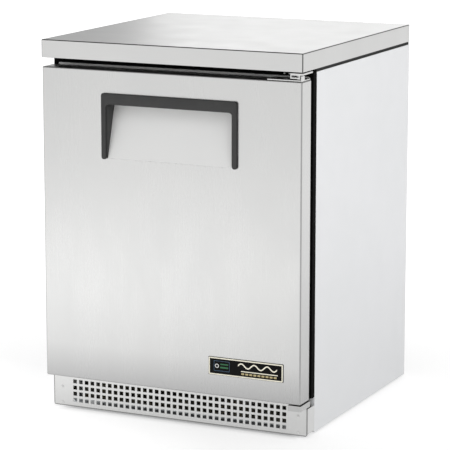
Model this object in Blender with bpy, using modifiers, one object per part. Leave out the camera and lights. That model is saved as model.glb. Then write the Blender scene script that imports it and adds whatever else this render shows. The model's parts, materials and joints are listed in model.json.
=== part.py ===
"""Undercounter freezer cabinet with one right-hinged door.

Metres, +Z up. The origin is on the floor, in the middle of the whole object, and +Y points to the rear.
Helpers take X from the middle, "back" as the distance behind the door's face, and Z above the floor.
"""

import math

import bmesh
import bpy
from mathutils import Euler, Vector

# Driving dimensions.
WIDTH = 0.610
DEPTH = 0.610  # door face to rear panel
HEIGHT = 0.820
HANDLE_PROUD = 0.005  # how far the handle frame stands out of the door's face
BODY_BOTTOM = 0.004  # the levelling feet lift the shell this far off the floor
WORKTOP_BOTTOM = 0.781
DOOR_WIDTH = 0.607
DOOR_BOTTOM = 0.080
DOOR_TOP = 0.762
DOOR_THICK = 0.0455
CABINET_FRONT = 0.073  # distance from the door's face to the cabinet's front face
SHELL_TOP = 0.7745
CAVITY_HALF_WIDTH = 0.245
CAVITY_BOTTOM = 0.124
CAVITY_TOP = 0.729
CAVITY_REAR = 0.545
STEP_FRONT = 0.270  # the cavity floor rises behind here, over the compressor
STEP_TOP = 0.310
MACHINE_FRONT = 0.332
MACHINE_TOP = 0.250
HINGE_X = 0.292
HINGE_BACK = 0.016

SHEET = 0.0012
GAP = 0.0003
HALF_WIDTH = WIDTH / 2
DOOR_FACE_Y = (HANDLE_PROUD - DEPTH) / 2
SHELL_INNER = HALF_WIDTH - SHEET
SHELL_REAR = 0.608
FRAME_OPENING = (CAVITY_HALF_WIDTH + 0.0015, CAVITY_BOTTOM - 0.0015, CAVITY_TOP + 0.0015)

# Kick grille.
KICK_BACK = 0.035
KICK_TOP = 0.074
KICK_NOTCH_TOP = 0.064
KICK_NOTCH_X = 0.2735
KICK_CORNER = 0.004
GRILLE_COLUMNS = 36
GRILLE_ROWS = 4
GRILLE_PITCH_X = 0.0144
GRILLE_PITCH_Z = 0.0140
GRILLE_FIRST_Z = 0.0192
GRILLE_HOLE = (0.0092, 0.0088)
GRILLE_SCREW_X = 0.2835
GRILLE_SCREW_Z = 0.0470

# Recessed pull in the door.
POCKET_BOTTOM = 0.572
POCKET_RAMP_TOP = 0.690
POCKET_TOP = 0.708
POCKET_DEPTH = 0.034
POCKET_HALF_WIDTH = 0.146
BEZEL_HALF_WIDTH = 0.159
BEZEL_BOTTOM = 0.571
BEZEL_TOP = 0.713
BEZEL_BAR_BOTTOM = 0.689
BEZEL_LEG_INNER = 0.1475
CUTOUT_HALF_WIDTH = 0.150

# Machine compartment.
PAN_FLOOR = 0.018
FAN_X = -0.165
FAN_Z = 0.118
COMPRESSOR_X = 0.165
COMPRESSOR_BACK = 0.470
COMPRESSOR_TOP = 0.190
CONDENSER_RIGHT = -0.045

# Evaporator compartment behind the cover.
COVER_BACK = 0.470
EVAPORATOR_FAN_Z = 0.620
KNOB_X = 0.165
KNOB_Z = 0.640
DRAIN_X = -0.120
DRAIN_BACK = 0.530
SUCTION_X = 0.200
SUCTION_BACK = 0.522

SHELF_LEVELS = {"lower": 0.330, "upper": 0.530}
SHELF_HALF_WIDTH = 0.234
SHELF_FRONT = 0.088
SHELF_REAR = 0.462
PILASTER_BACKS = {"front": 0.115, "rear": 0.435}
FOOT_X = 0.262
FOOT_BACKS = {"front": 0.085, "rear": 0.575}

ALONG_Z = (0.0, 0.0, 0.0)
ALONG_Y = (math.radians(90), 0.0, 0.0)  # local Z points to the front, local Y up
ALONG_X = (math.radians(90), 0.0, math.radians(90))  # local Z points right, local X back, local Y up


# Scene and material helpers.

def clear_scene():
    for obj in list(bpy.data.objects):
        bpy.data.objects.remove(obj)


def new_collection(name):
    collection = bpy.data.collections.new(name)
    bpy.context.scene.collection.children.link(collection)
    return collection


def material(name, color, roughness, metallic=0.0):
    mat = bpy.data.materials.get(name)
    if mat is None:
        mat = bpy.data.materials.new(name)
        mat.use_nodes = True
        shader = mat.node_tree.nodes["Principled BSDF"]
        shader.inputs["Base Color"].default_value = (*color, 1.0)
        shader.inputs["Roughness"].default_value = roughness
        shader.inputs["Metallic"].default_value = metallic
    return mat


def steel():
    return material("brushed_steel", (0.62, 0.62, 0.62), 0.32, 1.0)


def galvanised():
    return material("galvanised_steel", (0.55, 0.57, 0.58), 0.45, 1.0)


def aluminium():
    return material("aluminium", (0.80, 0.81, 0.82), 0.35, 1.0)


def white_paint():
    return material("white_paint", (0.84, 0.85, 0.87), 0.35)


def black_paint():
    return material("black_paint", (0.02, 0.02, 0.02), 0.45)


def black_plastic():
    return material("black_plastic", (0.03, 0.03, 0.03), 0.40)


def black_rubber():
    return material("black_rubber", (0.02, 0.02, 0.02), 0.70)


def foam():
    return material("foam", (0.86, 0.78, 0.55), 0.90)


def copper():
    return material("copper", (0.72, 0.38, 0.24), 0.30, 1.0)


def place(x, back, z):
    """World point of a position right of the middle, behind the door's face and above the floor."""
    return Vector((x, DOOR_FACE_Y + back, z))


def add(name, mesh, finish, location=(0, 0, 0), rotation=ALONG_Z):
    """A part with this mesh, or a hidden tool for cutting and joining where finish is None."""
    obj = bpy.data.objects.new(name, mesh)
    obj.location = location
    obj.rotation_euler = rotation
    if finish is None:
        tools.objects.link(obj)
        obj.hide_render = True
        obj.display_type = "WIRE"
    else:
        parts.objects.link(obj)
        mesh.materials.append(finish)
    return obj


# Shape helpers.

def cube(x, back, z):
    """A bmesh block around its own middle, and the world place of that middle."""
    bm = bmesh.new()
    bmesh.ops.create_cube(bm, size=1.0)
    size = Vector((x[1] - x[0], back[1] - back[0], z[1] - z[0]))
    bmesh.ops.scale(bm, vec=size, verts=bm.verts)
    return bm, place(sum(x) / 2, sum(back) / 2, sum(z) / 2)


def to_mesh(bm, name):
    mesh = bpy.data.meshes.new(name)
    bm.to_mesh(mesh)
    bm.free()
    return mesh


def block(name, x, back, z, finish=None, bevel=0.0):
    """A box between three (low, high) pairs."""
    bm, middle = cube(x, back, z)
    obj = add(name, to_mesh(bm, name), finish, middle)
    if bevel:
        round_edges(obj, bevel, 1)
    return obj


def round_edges(obj, width, segments):
    bevel = obj.modifiers.new("round_edges", "BEVEL")
    bevel.width = width
    bevel.segments = segments
    bevel.limit_method = "ANGLE"


def pan(name, x, back, z, open_side, thickness, finish, bevel=0.0):
    """A thin-walled box, open on the side that open_side points to."""
    bm, middle = cube(x, back, z)
    bm.normal_update()
    opening = [face for face in bm.faces if face.normal.dot(Vector(open_side)) > 0.9]
    bmesh.ops.delete(bm, geom=opening, context="FACES_ONLY")
    obj = add(name, to_mesh(bm, name), finish, middle)
    if bevel:
        round_edges(obj, bevel, 2)
    thicken(obj, thickness)
    return obj


def thicken(obj, thickness, offset=-1.0):
    solidify = obj.modifiers.new("sheet", "SOLIDIFY")
    solidify.thickness = thickness
    solidify.offset = offset


def boolean(obj, tool, operation, solver="EXACT"):
    modifier = obj.modifiers.new(tool.name, "BOOLEAN")
    modifier.operation = operation
    modifier.object = tool
    modifier.solver = solver


def cut(obj, *cutters):
    for cutter in cutters:
        boolean(obj, cutter, "DIFFERENCE")


def join(obj, *pieces, solver="EXACT"):
    for piece in pieces:
        boolean(obj, piece, "UNION", solver)


def evaluated_mesh(obj, name):
    """The mesh that a curve or a piece with modifiers makes, with a curve's loose caps welded on."""
    bpy.context.view_layer.update()
    source = obj.evaluated_get(bpy.context.evaluated_depsgraph_get())
    mesh = bpy.data.meshes.new_from_object(source)
    mesh.name = name
    bm = bmesh.new()
    bm.from_mesh(mesh)
    bmesh.ops.remove_doubles(bm, verts=bm.verts, dist=1e-6)
    bm.to_mesh(mesh)
    bm.free()
    mesh.materials.clear()
    return mesh


def from_curve(name, curve, finish, location, rotation):
    helper = bpy.data.objects.new(name + "_curve", curve)
    parts.objects.link(helper)
    mesh = evaluated_mesh(helper, name)
    bpy.data.objects.remove(helper)
    return add(name, mesh, finish, location, rotation)


def outline(name, loops, thickness, finish, location, rotation=ALONG_Z):
    """A flat plate: the first loop is its edge and the others are holes. Its middle plane is at location."""
    curve = bpy.data.curves.new(name, "CURVE")
    curve.dimensions = "2D"
    curve.fill_mode = "BOTH"
    curve.extrude = thickness / 2
    for points in loops:
        spline = curve.splines.new("POLY")
        spline.points.add(len(points) - 1)
        for spot, (u, v) in zip(spline.points, points):
            spot.co = (u, v, 0, 1)
        spline.use_cyclic_u = True
    return from_curve(name, curve, finish, location, rotation)


def tube(name, points, radius, finish, sides=2, closed=False):
    """A round wire or pipe through world points."""
    curve = bpy.data.curves.new(name, "CURVE")
    curve.dimensions = "3D"
    curve.bevel_depth = radius
    curve.bevel_resolution = sides
    curve.use_fill_caps = True
    spline = curve.splines.new("POLY")
    spline.points.add(len(points) - 1)
    for spot, point in zip(spline.points, points):
        spot.co = (*point, 1)
    spline.use_cyclic_u = closed
    return from_curve(name, curve, finish, (0, 0, 0), ALONG_Z)


def turned(name, profile, finish, location, rotation=ALONG_Z, steps=16, ring=False):
    """A profile of (radius, height) points, outer side listed top to bottom, turned about local Z."""
    bm = bmesh.new()
    verts = [bm.verts.new((radius, 0, height)) for radius, height in profile]
    for a, b in zip(verts, verts[1:]):
        bm.edges.new((a, b))
    if ring:
        bm.edges.new((verts[-1], verts[0]))
    obj = add(name, to_mesh(bm, name), finish, location, rotation)
    screw = obj.modifiers.new("turn", "SCREW")
    screw.steps = steps
    screw.render_steps = steps
    screw.use_merge_vertices = True
    screw.merge_threshold = 0.00001
    return obj


def drill(name, radius, x, back, z, sides=12):
    """A vertical cutter between two heights."""
    bm = bmesh.new()
    bmesh.ops.create_cone(
        bm, cap_ends=True, segments=sides, radius1=radius, radius2=radius, depth=z[1] - z[0]
    )
    return add(name, to_mesh(bm, name), None, place(x, back, sum(z) / 2))


def rectangle(x, z):
    return [(x[0], z[0]), (x[1], z[0]), (x[1], z[1]), (x[0], z[1])]


def circle(x, z, radius, sides=12):
    turns = [2 * math.pi * i / sides for i in range(sides)]
    return [(x + radius * math.cos(t), z + radius * math.sin(t)) for t in turns]


def arc(x, z, radius, start, end, steps=4):
    """Points on an arc, from one angle to another in degrees."""
    turns = [math.radians(start + (end - start) * i / steps) for i in range(steps + 1)]
    return [(x + radius * math.cos(t), z + radius * math.sin(t)) for t in turns]


def frame_plate(name, x, z, opening, back, finish):
    """A flat ring between two depths."""
    hole_x, hole_low, hole_high = opening
    loops = [rectangle(x, z), rectangle((-hole_x, hole_x), (hole_low, hole_high))]
    return outline(name, loops, back[1] - back[0], finish, place(0, sum(back) / 2, 0), ALONG_Y)


# Worktop and outer shell.

def make_worktop():
    span = (-HALF_WIDTH, HALF_WIDTH)
    pan("worktop", span, (0, DEPTH), (WORKTOP_BOTTOM, HEIGHT), (0, 0, -1), SHEET, steel(), bevel=0.002)
    inset = SHEET + 0.0006
    block(
        "worktop_core",
        (inset - HALF_WIDTH, HALF_WIDTH - inset),
        (inset, DEPTH - inset),
        (WORKTOP_BOTTOM + GAP, HEIGHT - inset),
        foam(),
        bevel=0.001,
    )
    outer = HALF_WIDTH - 0.0015
    inner = outer - 0.018
    back_edges = (0.074, SHELL_REAR)
    middle_z = (SHELL_TOP + WORKTOP_BOTTOM) / 2
    front, rear = (DOOR_FACE_Y + edge for edge in back_edges)
    loops = [
        rectangle((-outer, outer), (front, rear)),
        rectangle((-inner, inner), (front + 0.018, rear - 0.018)),
    ]
    thickness = WORKTOP_BOTTOM - SHELL_TOP - 2 * GAP
    seal = outline("worktop_seal", loops, thickness, black_rubber(), (0, 0, middle_z))
    cut(seal, block("seal_hinge_notch", (0.2755, 0.2965), (0.060, 0.1125), (0.770, 0.785)))


def make_side_panels():
    for side, sign in (("left", -1), ("right", 1)):
        lip, rear_lip = 0.2972, 0.290
        points = [
            (HALF_WIDTH, CABINET_FRONT),
            (HALF_WIDTH, SHELL_REAR),
            (rear_lip, SHELL_REAR),
            (rear_lip, SHELL_REAR - SHEET),
            (SHELL_INNER, SHELL_REAR - SHEET),
            (SHELL_INNER, CABINET_FRONT + SHEET),
            (lip, CABINET_FRONT + SHEET),
            (lip, CABINET_FRONT),
        ]
        loop = [(sign * x, DOOR_FACE_Y + back) for x, back in points]
        height = SHELL_TOP - BODY_BOTTOM
        outline(f"side_panel_{side}", [loop], height, white_paint(), (0, 0, BODY_BOTTOM + height / 2))


def make_rear():
    half = HALF_WIDTH - 0.0002
    panel_back = (SHELL_REAR + 0.0004, DEPTH)
    block("rear_panel", (-half, half), panel_back, (MACHINE_TOP + 0.002, SHELL_TOP), galvanised())
    slots = []
    for row in range(10):
        z = 0.060 + 0.0175 * row
        slots.append(rectangle((-0.275, -0.020), (z, z + 0.006)))
        slots.append(rectangle((0.020, 0.200), (z, z + 0.006)))
    gland_x, gland_z = 0.245, 0.070
    grille_back = (0.5968, 0.598)
    edge = rectangle((-0.3030, 0.3030), (0.027, MACHINE_TOP - 0.002))
    loops = [edge, *slots, circle(gland_x, gland_z, 0.0105)]
    plate_at = place(0, sum(grille_back) / 2, 0)
    outline("rear_service_grille", loops, SHEET, galvanised(), plate_at, ALONG_Y)
    profile = [
        (0.0040, 0.0150),
        (0.0070, 0.0150),
        (0.0100, 0.0090),
        (0.0150, 0.0080),
        (0.0150, 0.0040),
        (0.0100, 0.0040),
        (0.0100, -0.0040),
        (0.0040, -0.0040),
    ]
    facing_back = (math.radians(-90), 0.0, 0.0)
    gland_at = place(gland_x, 0.5945, gland_z)
    turned("cord_gland", profile, black_plastic(), gland_at, facing_back, 12, ring=True)


def make_base():
    tray = (-0.2968, 0.2968), (0.045, 0.606), (PAN_FLOOR, 0.026)
    base = pan("base_pan", *tray, (0, 0, 1), 0.0015, galvanised())
    for name, foot_back in FOOT_BACKS.items():
        for side, sign in (("left", -1), ("right", 1)):
            cut(base, drill(f"stud_hole_{name}_{side}", 0.0054, sign * FOOT_X, foot_back, (0.010, 0.030)))
            profile = [(0, 0.052), (0.005, 0.052), (0.005, 0.0125), (0.018, 0.0085), (0.018, 0), (0, 0)]
            foot_name = f"levelling_foot_{name}_{side}"
            turned(foot_name, profile, galvanised(), place(sign * FOOT_X, foot_back, 0), steps=16)


def make_kick_grille():
    """The perforated front is one plate. Its side returns stand a hair proud of the plate's edges."""
    step = 0.0002
    end = HALF_WIDTH - step
    corner = KICK_CORNER
    edge = [
        *arc(corner - end, BODY_BOTTOM + corner, corner, 180, 270),
        *arc(end - corner, BODY_BOTTOM + corner, corner, 270, 360),
        (end, KICK_NOTCH_TOP),
        (KICK_NOTCH_X, KICK_NOTCH_TOP),
        (KICK_NOTCH_X, KICK_TOP),
        (-end, KICK_TOP),
    ]
    half_x, half_z = GRILLE_HOLE[0] / 2, GRILLE_HOLE[1] / 2
    holes = []
    for column in range(GRILLE_COLUMNS):
        x = (column - (GRILLE_COLUMNS - 1) / 2) * GRILLE_PITCH_X
        for row in range(GRILLE_ROWS):
            z = GRILLE_FIRST_Z + row * GRILLE_PITCH_Z
            holes.append(rectangle((x - half_x, x + half_x), (z - half_z, z + half_z)))
    screw_holes = [circle(sign * GRILLE_SCREW_X, GRILLE_SCREW_Z, 0.0024, 8) for sign in (-1, 1)]
    plate_at = place(0, KICK_BACK + SHEET / 2, 0)
    grille = outline("kick_grille", [edge, *holes, *screw_holes], SHEET, steel(), plate_at, ALONG_Y)
    back = (KICK_BACK + step, CABINET_FRONT - GAP)
    low = BODY_BOTTOM + corner + step
    join(
        grille,
        block("kick_return_left", (-HALF_WIDTH, -SHELL_INNER), back, (low, KICK_TOP - step)),
        block("kick_return_right", (SHELL_INNER, HALF_WIDTH), back, (low, KICK_NOTCH_TOP - step)),
        solver="MANIFOLD",
    )
    for side, sign in (("left", -1), ("right", 1)):
        profile = [(0, 0.0018), (0.0026, 0.0016), (0.0045, 0), (0.0019, 0), (0.0019, -0.012), (0, -0.012)]
        head_at = place(sign * GRILLE_SCREW_X, KICK_BACK - GAP, GRILLE_SCREW_Z)
        turned(f"grille_screw_{side}", profile, steel(), head_at, ALONG_Y, 10)


def make_front_trim():
    half = 0.2969
    depth = (CABINET_FRONT, CABINET_FRONT + SHEET)
    frame = frame_plate("face_frame", (-half, half), (0.0644, SHELL_TOP), FRAME_OPENING, depth, steel())
    join(frame, block("face_frame_lip", (0.0004 - half, half - 0.0004), (0.060, depth[1]), (0.7590, 0.7645)))
    outer, inner = HALF_WIDTH - 0.0001, 0.297
    low, bar_bottom = 0.082, 0.7665
    edge = [
        (-outer, low),
        (-inner, low),
        (-inner, bar_bottom),
        (inner, bar_bottom),
        (inner, low),
        (outer, low),
        (outer, SHELL_TOP),
        (-outer, SHELL_TOP),
    ]
    front, rear = 0.056, CABINET_FRONT - GAP
    strip_at = place(0, (front + rear) / 2, 0)
    outline("breaker_strip", [edge], rear - front, black_plastic(), strip_at, ALONG_Y)


# Insulated cavity.

def cavity_outline(grow):
    """Side view of the food cavity, grown outwards, as (Y, Z) points."""
    points = [
        (CABINET_FRONT + SHEET + 0.0004, CAVITY_BOTTOM - grow),
        (STEP_FRONT + grow, CAVITY_BOTTOM - grow),
        (STEP_FRONT + grow, STEP_TOP - grow),
        (CAVITY_REAR + grow, STEP_TOP - grow),
        (CAVITY_REAR + grow, CAVITY_TOP + grow),
        (CABINET_FRONT + SHEET + 0.0004, CAVITY_TOP + grow),
    ]
    return [(DOOR_FACE_Y + back, z) for back, z in points]


def make_insulation():
    half = SHELL_INNER - 0.0004
    shell = block(
        "insulation_foam",
        (-half, half),
        (CABINET_FRONT + SHEET + 0.0004, SHELL_REAR - SHEET - 0.0004),
        (0.068, SHELL_TOP - GAP),
        foam(),
    )
    grow = SHEET + GAP
    points = cavity_outline(grow)
    front_y = DOOR_FACE_Y + 0.060
    points[0] = (front_y, points[0][1])
    points[-1] = (front_y, points[-1][1])
    width = 2 * (CAVITY_HALF_WIDTH + grow)
    cut(
        shell,
        outline("cavity_space", [points], width, None, (0, 0, 0), ALONG_X),
        block("machine_space", (-0.320, 0.320), (MACHINE_FRONT, 0.640), (0.010, MACHINE_TOP)),
        drill("drain_bore", 0.0084, DRAIN_X, DRAIN_BACK, (0.230, 0.330)),
        drill("suction_bore", 0.0055, SUCTION_X, SUCTION_BACK, (0.230, 0.330)),
    )


def make_liner():
    width = 2 * CAVITY_HALF_WIDTH
    solid = outline("inner_liner", [cavity_outline(0)], width, aluminium(), (0, 0, 0), ALONG_X)
    bm = bmesh.new()
    bm.from_mesh(solid.data)
    bm.normal_update()
    front_limit = DOOR_FACE_Y + CABINET_FRONT + 0.01
    facing_front = [face for face in bm.faces if face.normal.x < -0.9]
    mouth = [face for face in facing_front if face.calc_center_median().x < front_limit]
    bmesh.ops.delete(bm, geom=mouth, context="FACES_ONLY")
    bm.to_mesh(solid.data)
    bm.free()
    thicken(solid, SHEET, offset=1.0)
    cut(
        solid,
        drill("liner_drain_hole", 0.0084, DRAIN_X, DRAIN_BACK, (0.300, 0.320)),
        drill("liner_suction_hole", 0.0055, SUCTION_X, SUCTION_BACK, (0.300, 0.320)),
    )


def make_shelf_supports():
    depth, half_width = 0.004, 0.009
    for place_name, back in PILASTER_BACKS.items():
        low = 0.140 if place_name == "front" else STEP_TOP + 0.006
        for side, sign in (("left", -1), ("right", 1)):
            wall = CAVITY_HALF_WIDTH - GAP
            x = sorted((sign * wall, sign * (wall - depth)))
            strip = block(
                f"shelf_pilaster_{place_name}_{side}",
                x,
                (back - half_width, back + half_width),
                (low, 0.700),
                aluminium(),
            )
            slots_name = f"pilaster_slots_{place_name}_{side}"
            cut(strip, slot_cutters(slots_name, sign * (wall - depth / 2), back))
            for level, shelf_z in SHELF_LEVELS.items():
                make_clip(f"shelf_clip_{level}_{place_name}_{side}", sign, back, shelf_z)


def slot_cutters(name, x, back):
    """A column of slot cutters, one above the other, as one hidden piece."""
    bm = bmesh.new()
    for row in range(7):
        made = bmesh.ops.create_cube(bm, size=1.0)["verts"]
        bmesh.ops.scale(bm, vec=(0.010, 0.008, 0.005), verts=made)
        bmesh.ops.translate(bm, vec=(0, 0, 0.360 + 0.050 * row), verts=made)
    return add(name, to_mesh(bm, name), None, place(x, back, 0))


def make_clip(name, sign, back, shelf_z):
    """A bent strip: a foot against the pilaster, a flat arm under the shelf and a lip at its end."""
    face = CAVITY_HALF_WIDTH - 0.0043 - GAP
    arm_top = shelf_z - 0.0066
    points = [
        (face, arm_top + 0.004),
        (face - 0.0012, arm_top + 0.004),
        (face - 0.0012, arm_top),
        (face - 0.0140, arm_top),
        (face - 0.0140, arm_top - 0.0012),
        (face - 0.0012, arm_top - 0.0012),
        (face - 0.0012, arm_top - 0.012),
        (face, arm_top - 0.012),
    ]
    outline(name, [[(sign * x, z) for x, z in points]], 0.012, galvanised(), place(0, back, 0), ALONG_Y)


def make_shelves():
    coated = material("coated_wire", (0.80, 0.81, 0.80), 0.40)
    corner = 0.012
    for level, z in SHELF_LEVELS.items():
        x_in, front, rear = SHELF_HALF_WIDTH - corner, SHELF_FRONT + corner, SHELF_REAR - corner
        flat = [
            *arc(x_in, rear, corner, 0, 90, 3),
            *arc(-x_in, rear, corner, 90, 180, 3),
            *arc(-x_in, front, corner, 180, 270, 3),
            *arc(x_in, front, corner, 270, 360, 3),
        ]
        rim = [place(x, back, z) for x, back in flat]
        shelf = tube(f"wire_shelf_{level}", rim, 0.003, coated, sides=1, closed=True)
        count = 13
        for i in range(count):
            x = SHELF_HALF_WIDTH * (2 * (i + 1) / (count + 1) - 1)
            ends = [place(x, SHELF_FRONT, z), place(x, SHELF_REAR, z)]
            join(shelf, tube(f"shelf_wire_{level}_{i}", ends, 0.0018, None, sides=1))
        for i, back in enumerate((0.170, 0.380)):
            ends = [place(x, back, z - 0.0038) for x in (-SHELF_HALF_WIDTH, SHELF_HALF_WIDTH)]
            join(shelf, tube(f"shelf_bar_{level}_{i}", ends, 0.0025, None, sides=1))


# Cooling system.

def comb(x, depth, rear, fins, back_bar):
    """Plan outline of a fin pack: a bar along the rear with fins standing forward."""
    pitch = (x[1] - x[0]) / fins
    tip, root = rear - depth, rear - back_bar
    points = [(x[0], rear), (x[0], tip)]
    for i in range(fins - 1):
        left = x[0] + i * pitch
        right = left + pitch / 2
        points += [(right, tip), (right, root), (left + pitch, root), (left + pitch, tip)]
    points += [(x[1], tip), (x[1], rear)]
    return points


def fin_pack(name, x, back, z, fins, finish):
    points = comb(x, back[1] - back[0], DOOR_FACE_Y + back[1], fins, 0.012)
    return outline(name, [points], z[1] - z[0], finish, (0, 0, sum(z) / 2))


def fan_blade(name, x, back, z, hub, radius, blades, finish):
    """A hub with pitched blades, turning about a front-to-back axis through its origin."""
    profile = [(0, 0.010), (hub, 0.008), (hub, -0.008), (0.0034, -0.008), (0.0034, 0.002), (0, 0.002)]
    origin = place(x, back, z)
    rotor = turned(name, profile, finish, origin, ALONG_Y, 12)
    for i in range(blades):
        bm = bmesh.new()
        bmesh.ops.create_cube(bm, size=1.0)
        length = radius - hub + 0.003
        bmesh.ops.scale(bm, vec=(length, 0.0016, radius * 0.42), verts=bm.verts)
        bmesh.ops.rotate(bm, verts=bm.verts, matrix=Euler((math.radians(62), 0, 0)).to_matrix())
        bmesh.ops.translate(bm, vec=(hub - 0.003 + length / 2, 0, 0), verts=bm.verts)
        spin = Euler((0, 2 * math.pi * i / blades, 0)).to_matrix()
        bmesh.ops.rotate(bm, verts=bm.verts, matrix=spin)
        tool_name = f"{name}_vane_{i}"
        join(rotor, add(tool_name, to_mesh(bm, tool_name), None, origin))
    return rotor


def fan_motor(name, x, back, z, radius, finish):
    """A motor with its shaft pointing to the front; back is where its case starts and ends."""
    length = back[1] - back[0]
    shaft = 0.014
    profile = [
        (0, shaft),
        (0.003, shaft),
        (0.003, 0),
        (radius * 0.8, 0),
        (radius, -0.006),
        (radius, -length),
        (0, -length),
    ]
    return turned(name, profile, finish, place(x, back[0], z), ALONG_Y, 16)


def make_evaporator():
    top, bottom = CAVITY_TOP - 0.001, STEP_TOP + 0.0013
    half = CAVITY_HALF_WIDTH - 0.001
    loops = [rectangle((-half, half), (bottom, top)), circle(0, EVAPORATOR_FAN_Z, 0.052, 20)]
    loops.append(circle(KNOB_X, KNOB_Z, 0.0045, 8))
    for row in range(5):
        z = 0.370 + 0.018 * row
        loops.append(rectangle((-0.170, 0.170), (z, z + 0.008)))
    cover_at = place(0, COVER_BACK + SHEET / 2, 0)
    cover = outline("evaporator_cover", loops, SHEET, white_paint(), cover_at, ALONG_Y)
    flange = (COVER_BACK + SHEET / 2, COVER_BACK + 0.020)
    join(cover, block("cover_flange", (-half, half), flange, (bottom, bottom + SHEET)))
    fin_pack("evaporator_coil", (-0.175, 0.175), (0.500, 0.538), (0.350, 0.500), 22, aluminium())
    fan_motor("evaporator_fan_motor", 0, (0.508, 0.540), EVAPORATOR_FAN_Z, 0.026, black_paint())
    fan_blade("evaporator_fan_blade", 0, 0.490, EVAPORATOR_FAN_Z, 0.013, 0.047, 5, black_plastic())
    drop = STEP_TOP + 0.0004
    profile = [
        (0.0060, 0.006),
        (0.0150, 0.006),
        (0.0150, 0),
        (0.0080, 0),
        (0.0080, 0.075 - drop),
        (0.0060, 0.075 - drop),
    ]
    turned("drain_tube", profile, black_plastic(), place(DRAIN_X, DRAIN_BACK, drop), steps=12, ring=True)


def make_control():
    body_x = (KNOB_X - 0.016, KNOB_X + 0.016)
    body_back = (COVER_BACK + SHEET + GAP, 0.500)
    body_z = (KNOB_Z - 0.020, KNOB_Z + 0.020)
    body = block("thermostat", body_x, body_back, body_z, black_plastic(), bevel=0.001)
    shaft_end, shaft_start = COVER_BACK - 0.008, COVER_BACK + 0.010
    profile = [(0, shaft_start - shaft_end), (0.003, shaft_start - shaft_end), (0.003, 0), (0, 0)]
    join(body, turned("thermostat_shaft", profile, None, place(KNOB_X, shaft_start, KNOB_Z), ALONG_Y, 8))
    profile = [
        (0, 0.013),
        (0.0135, 0.013),
        (0.0150, 0.0115),
        (0.0150, 0),
        (0.0034, 0),
        (0.0034, 0.008),
        (0, 0.008),
    ]
    knob_at = place(KNOB_X, COVER_BACK - 0.0005, KNOB_Z)
    knob = turned("control_knob", profile, black_plastic(), knob_at, ALONG_Y, 20)
    pointer_x = (KNOB_X - 0.0015, KNOB_X + 0.0015)
    pointer_back = (COVER_BACK - 0.0155, COVER_BACK - 0.012)
    join(knob, block("knob_pointer", pointer_x, pointer_back, (KNOB_Z, KNOB_Z + 0.0135)))


def make_condensing_unit():
    condenser_x = (-0.285, CONDENSER_RIGHT)
    fin_pack("condenser_coil", condenser_x, (0.345, 0.395), (0.024, 0.225), 20, black_paint())
    motor = fan_motor("condenser_fan_motor", FAN_X, (0.465, 0.505), FAN_Z, 0.032, black_paint())
    join(motor, block("motor_stand", (FAN_X - 0.010, FAN_X + 0.010), (0.478, 0.500), (0.0200, 0.110)))
    fan_blade("condenser_fan_blade", FAN_X, 0.440, FAN_Z, 0.018, 0.082, 5, aluminium())
    floor = PAN_FLOOR + 0.002
    tray = (-0.240, -0.040), (0.512, 0.585), (floor, 0.050)
    pan("condensate_pan", *tray, (0, 0, 1), 0.002, black_plastic())
    middle = 0.092
    profile = [
        (0, COMPRESSOR_TOP),
        (0.020, COMPRESSOR_TOP),
        (0.048, COMPRESSOR_TOP - 0.010),
        (0.065, COMPRESSOR_TOP - 0.032),
        (0.069, middle + 0.005),
        (0.074, middle + 0.004),
        (0.074, middle - 0.004),
        (0.069, middle - 0.005),
        (0.066, 0.045),
        (0.050, 0.028),
        (0, 0.026),
    ]
    shell_at = place(COMPRESSOR_X, COMPRESSOR_BACK, 0)
    compressor = turned("compressor", profile, black_paint(), shell_at, steps=20)
    spread = 0.078
    foot_x = (COMPRESSOR_X - spread, COMPRESSOR_X + spread)
    foot_back = (COMPRESSOR_BACK - spread, COMPRESSOR_BACK + spread)
    terminal = (COMPRESSOR_X + 0.050, COMPRESSOR_X + 0.095), (0.445, 0.495), (0.070, 0.130)
    join(
        compressor,
        block("compressor_foot", foot_x, foot_back, (floor, 0.032)),
        block("terminal_box", *terminal),
    )


def make_pipework():
    line = 0.0045
    top = COMPRESSOR_TOP + GAP
    discharge = [
        place(COMPRESSOR_X, COMPRESSOR_BACK, top),
        place(COMPRESSOR_X, COMPRESSOR_BACK, 0.215),
        place(COMPRESSOR_X - 0.010, COMPRESSOR_BACK - 0.006, 0.225),
        place(0.040, 0.400, 0.225),
        place(0.000, 0.372, 0.215),
        place(-0.012, 0.370, 0.205),
        place(CONDENSER_RIGHT + GAP, 0.370, 0.205),
    ]
    tube("discharge_line", discharge, line, copper(), sides=1)
    shell_rear = COMPRESSOR_BACK + 0.0745
    suction = [
        place(COMPRESSOR_X, shell_rear, 0.092),
        place(COMPRESSOR_X, 0.5600, 0.092),
        place(COMPRESSOR_X, 0.5680, 0.100),
        place(COMPRESSOR_X, 0.5680, 0.215),
        place(COMPRESSOR_X + 0.004, 0.5640, 0.224),
        place(SUCTION_X - 0.004, SUCTION_BACK + 0.004, 0.228),
        place(SUCTION_X, SUCTION_BACK, 0.236),
        place(SUCTION_X, SUCTION_BACK, 0.370),
        place(SUCTION_X - 0.003, SUCTION_BACK, 0.378),
        place(SUCTION_X - 0.010, SUCTION_BACK, 0.380),
        place(0.175 + GAP, SUCTION_BACK, 0.380),
    ]
    tube("suction_line", suction, line, copper(), sides=1)
    profile = [
        (0, 0.125),
        (0.003, 0.125),
        (0.003, 0.112),
        (0.011, 0.100),
        (0.011, 0.026),
        (0.003, 0.014),
        (0.003, 0),
        (0, 0),
    ]
    along_x = (0.0, math.radians(90), 0.0)
    turned("filter_drier", profile, copper(), place(CONDENSER_RIGHT + GAP, 0.370, 0.050), along_x, 12)


# Hinges.

def pin(name, z, radius=0.004, sides=12):
    return drill(name, radius, HINGE_X, HINGE_BACK, z, sides)


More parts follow.
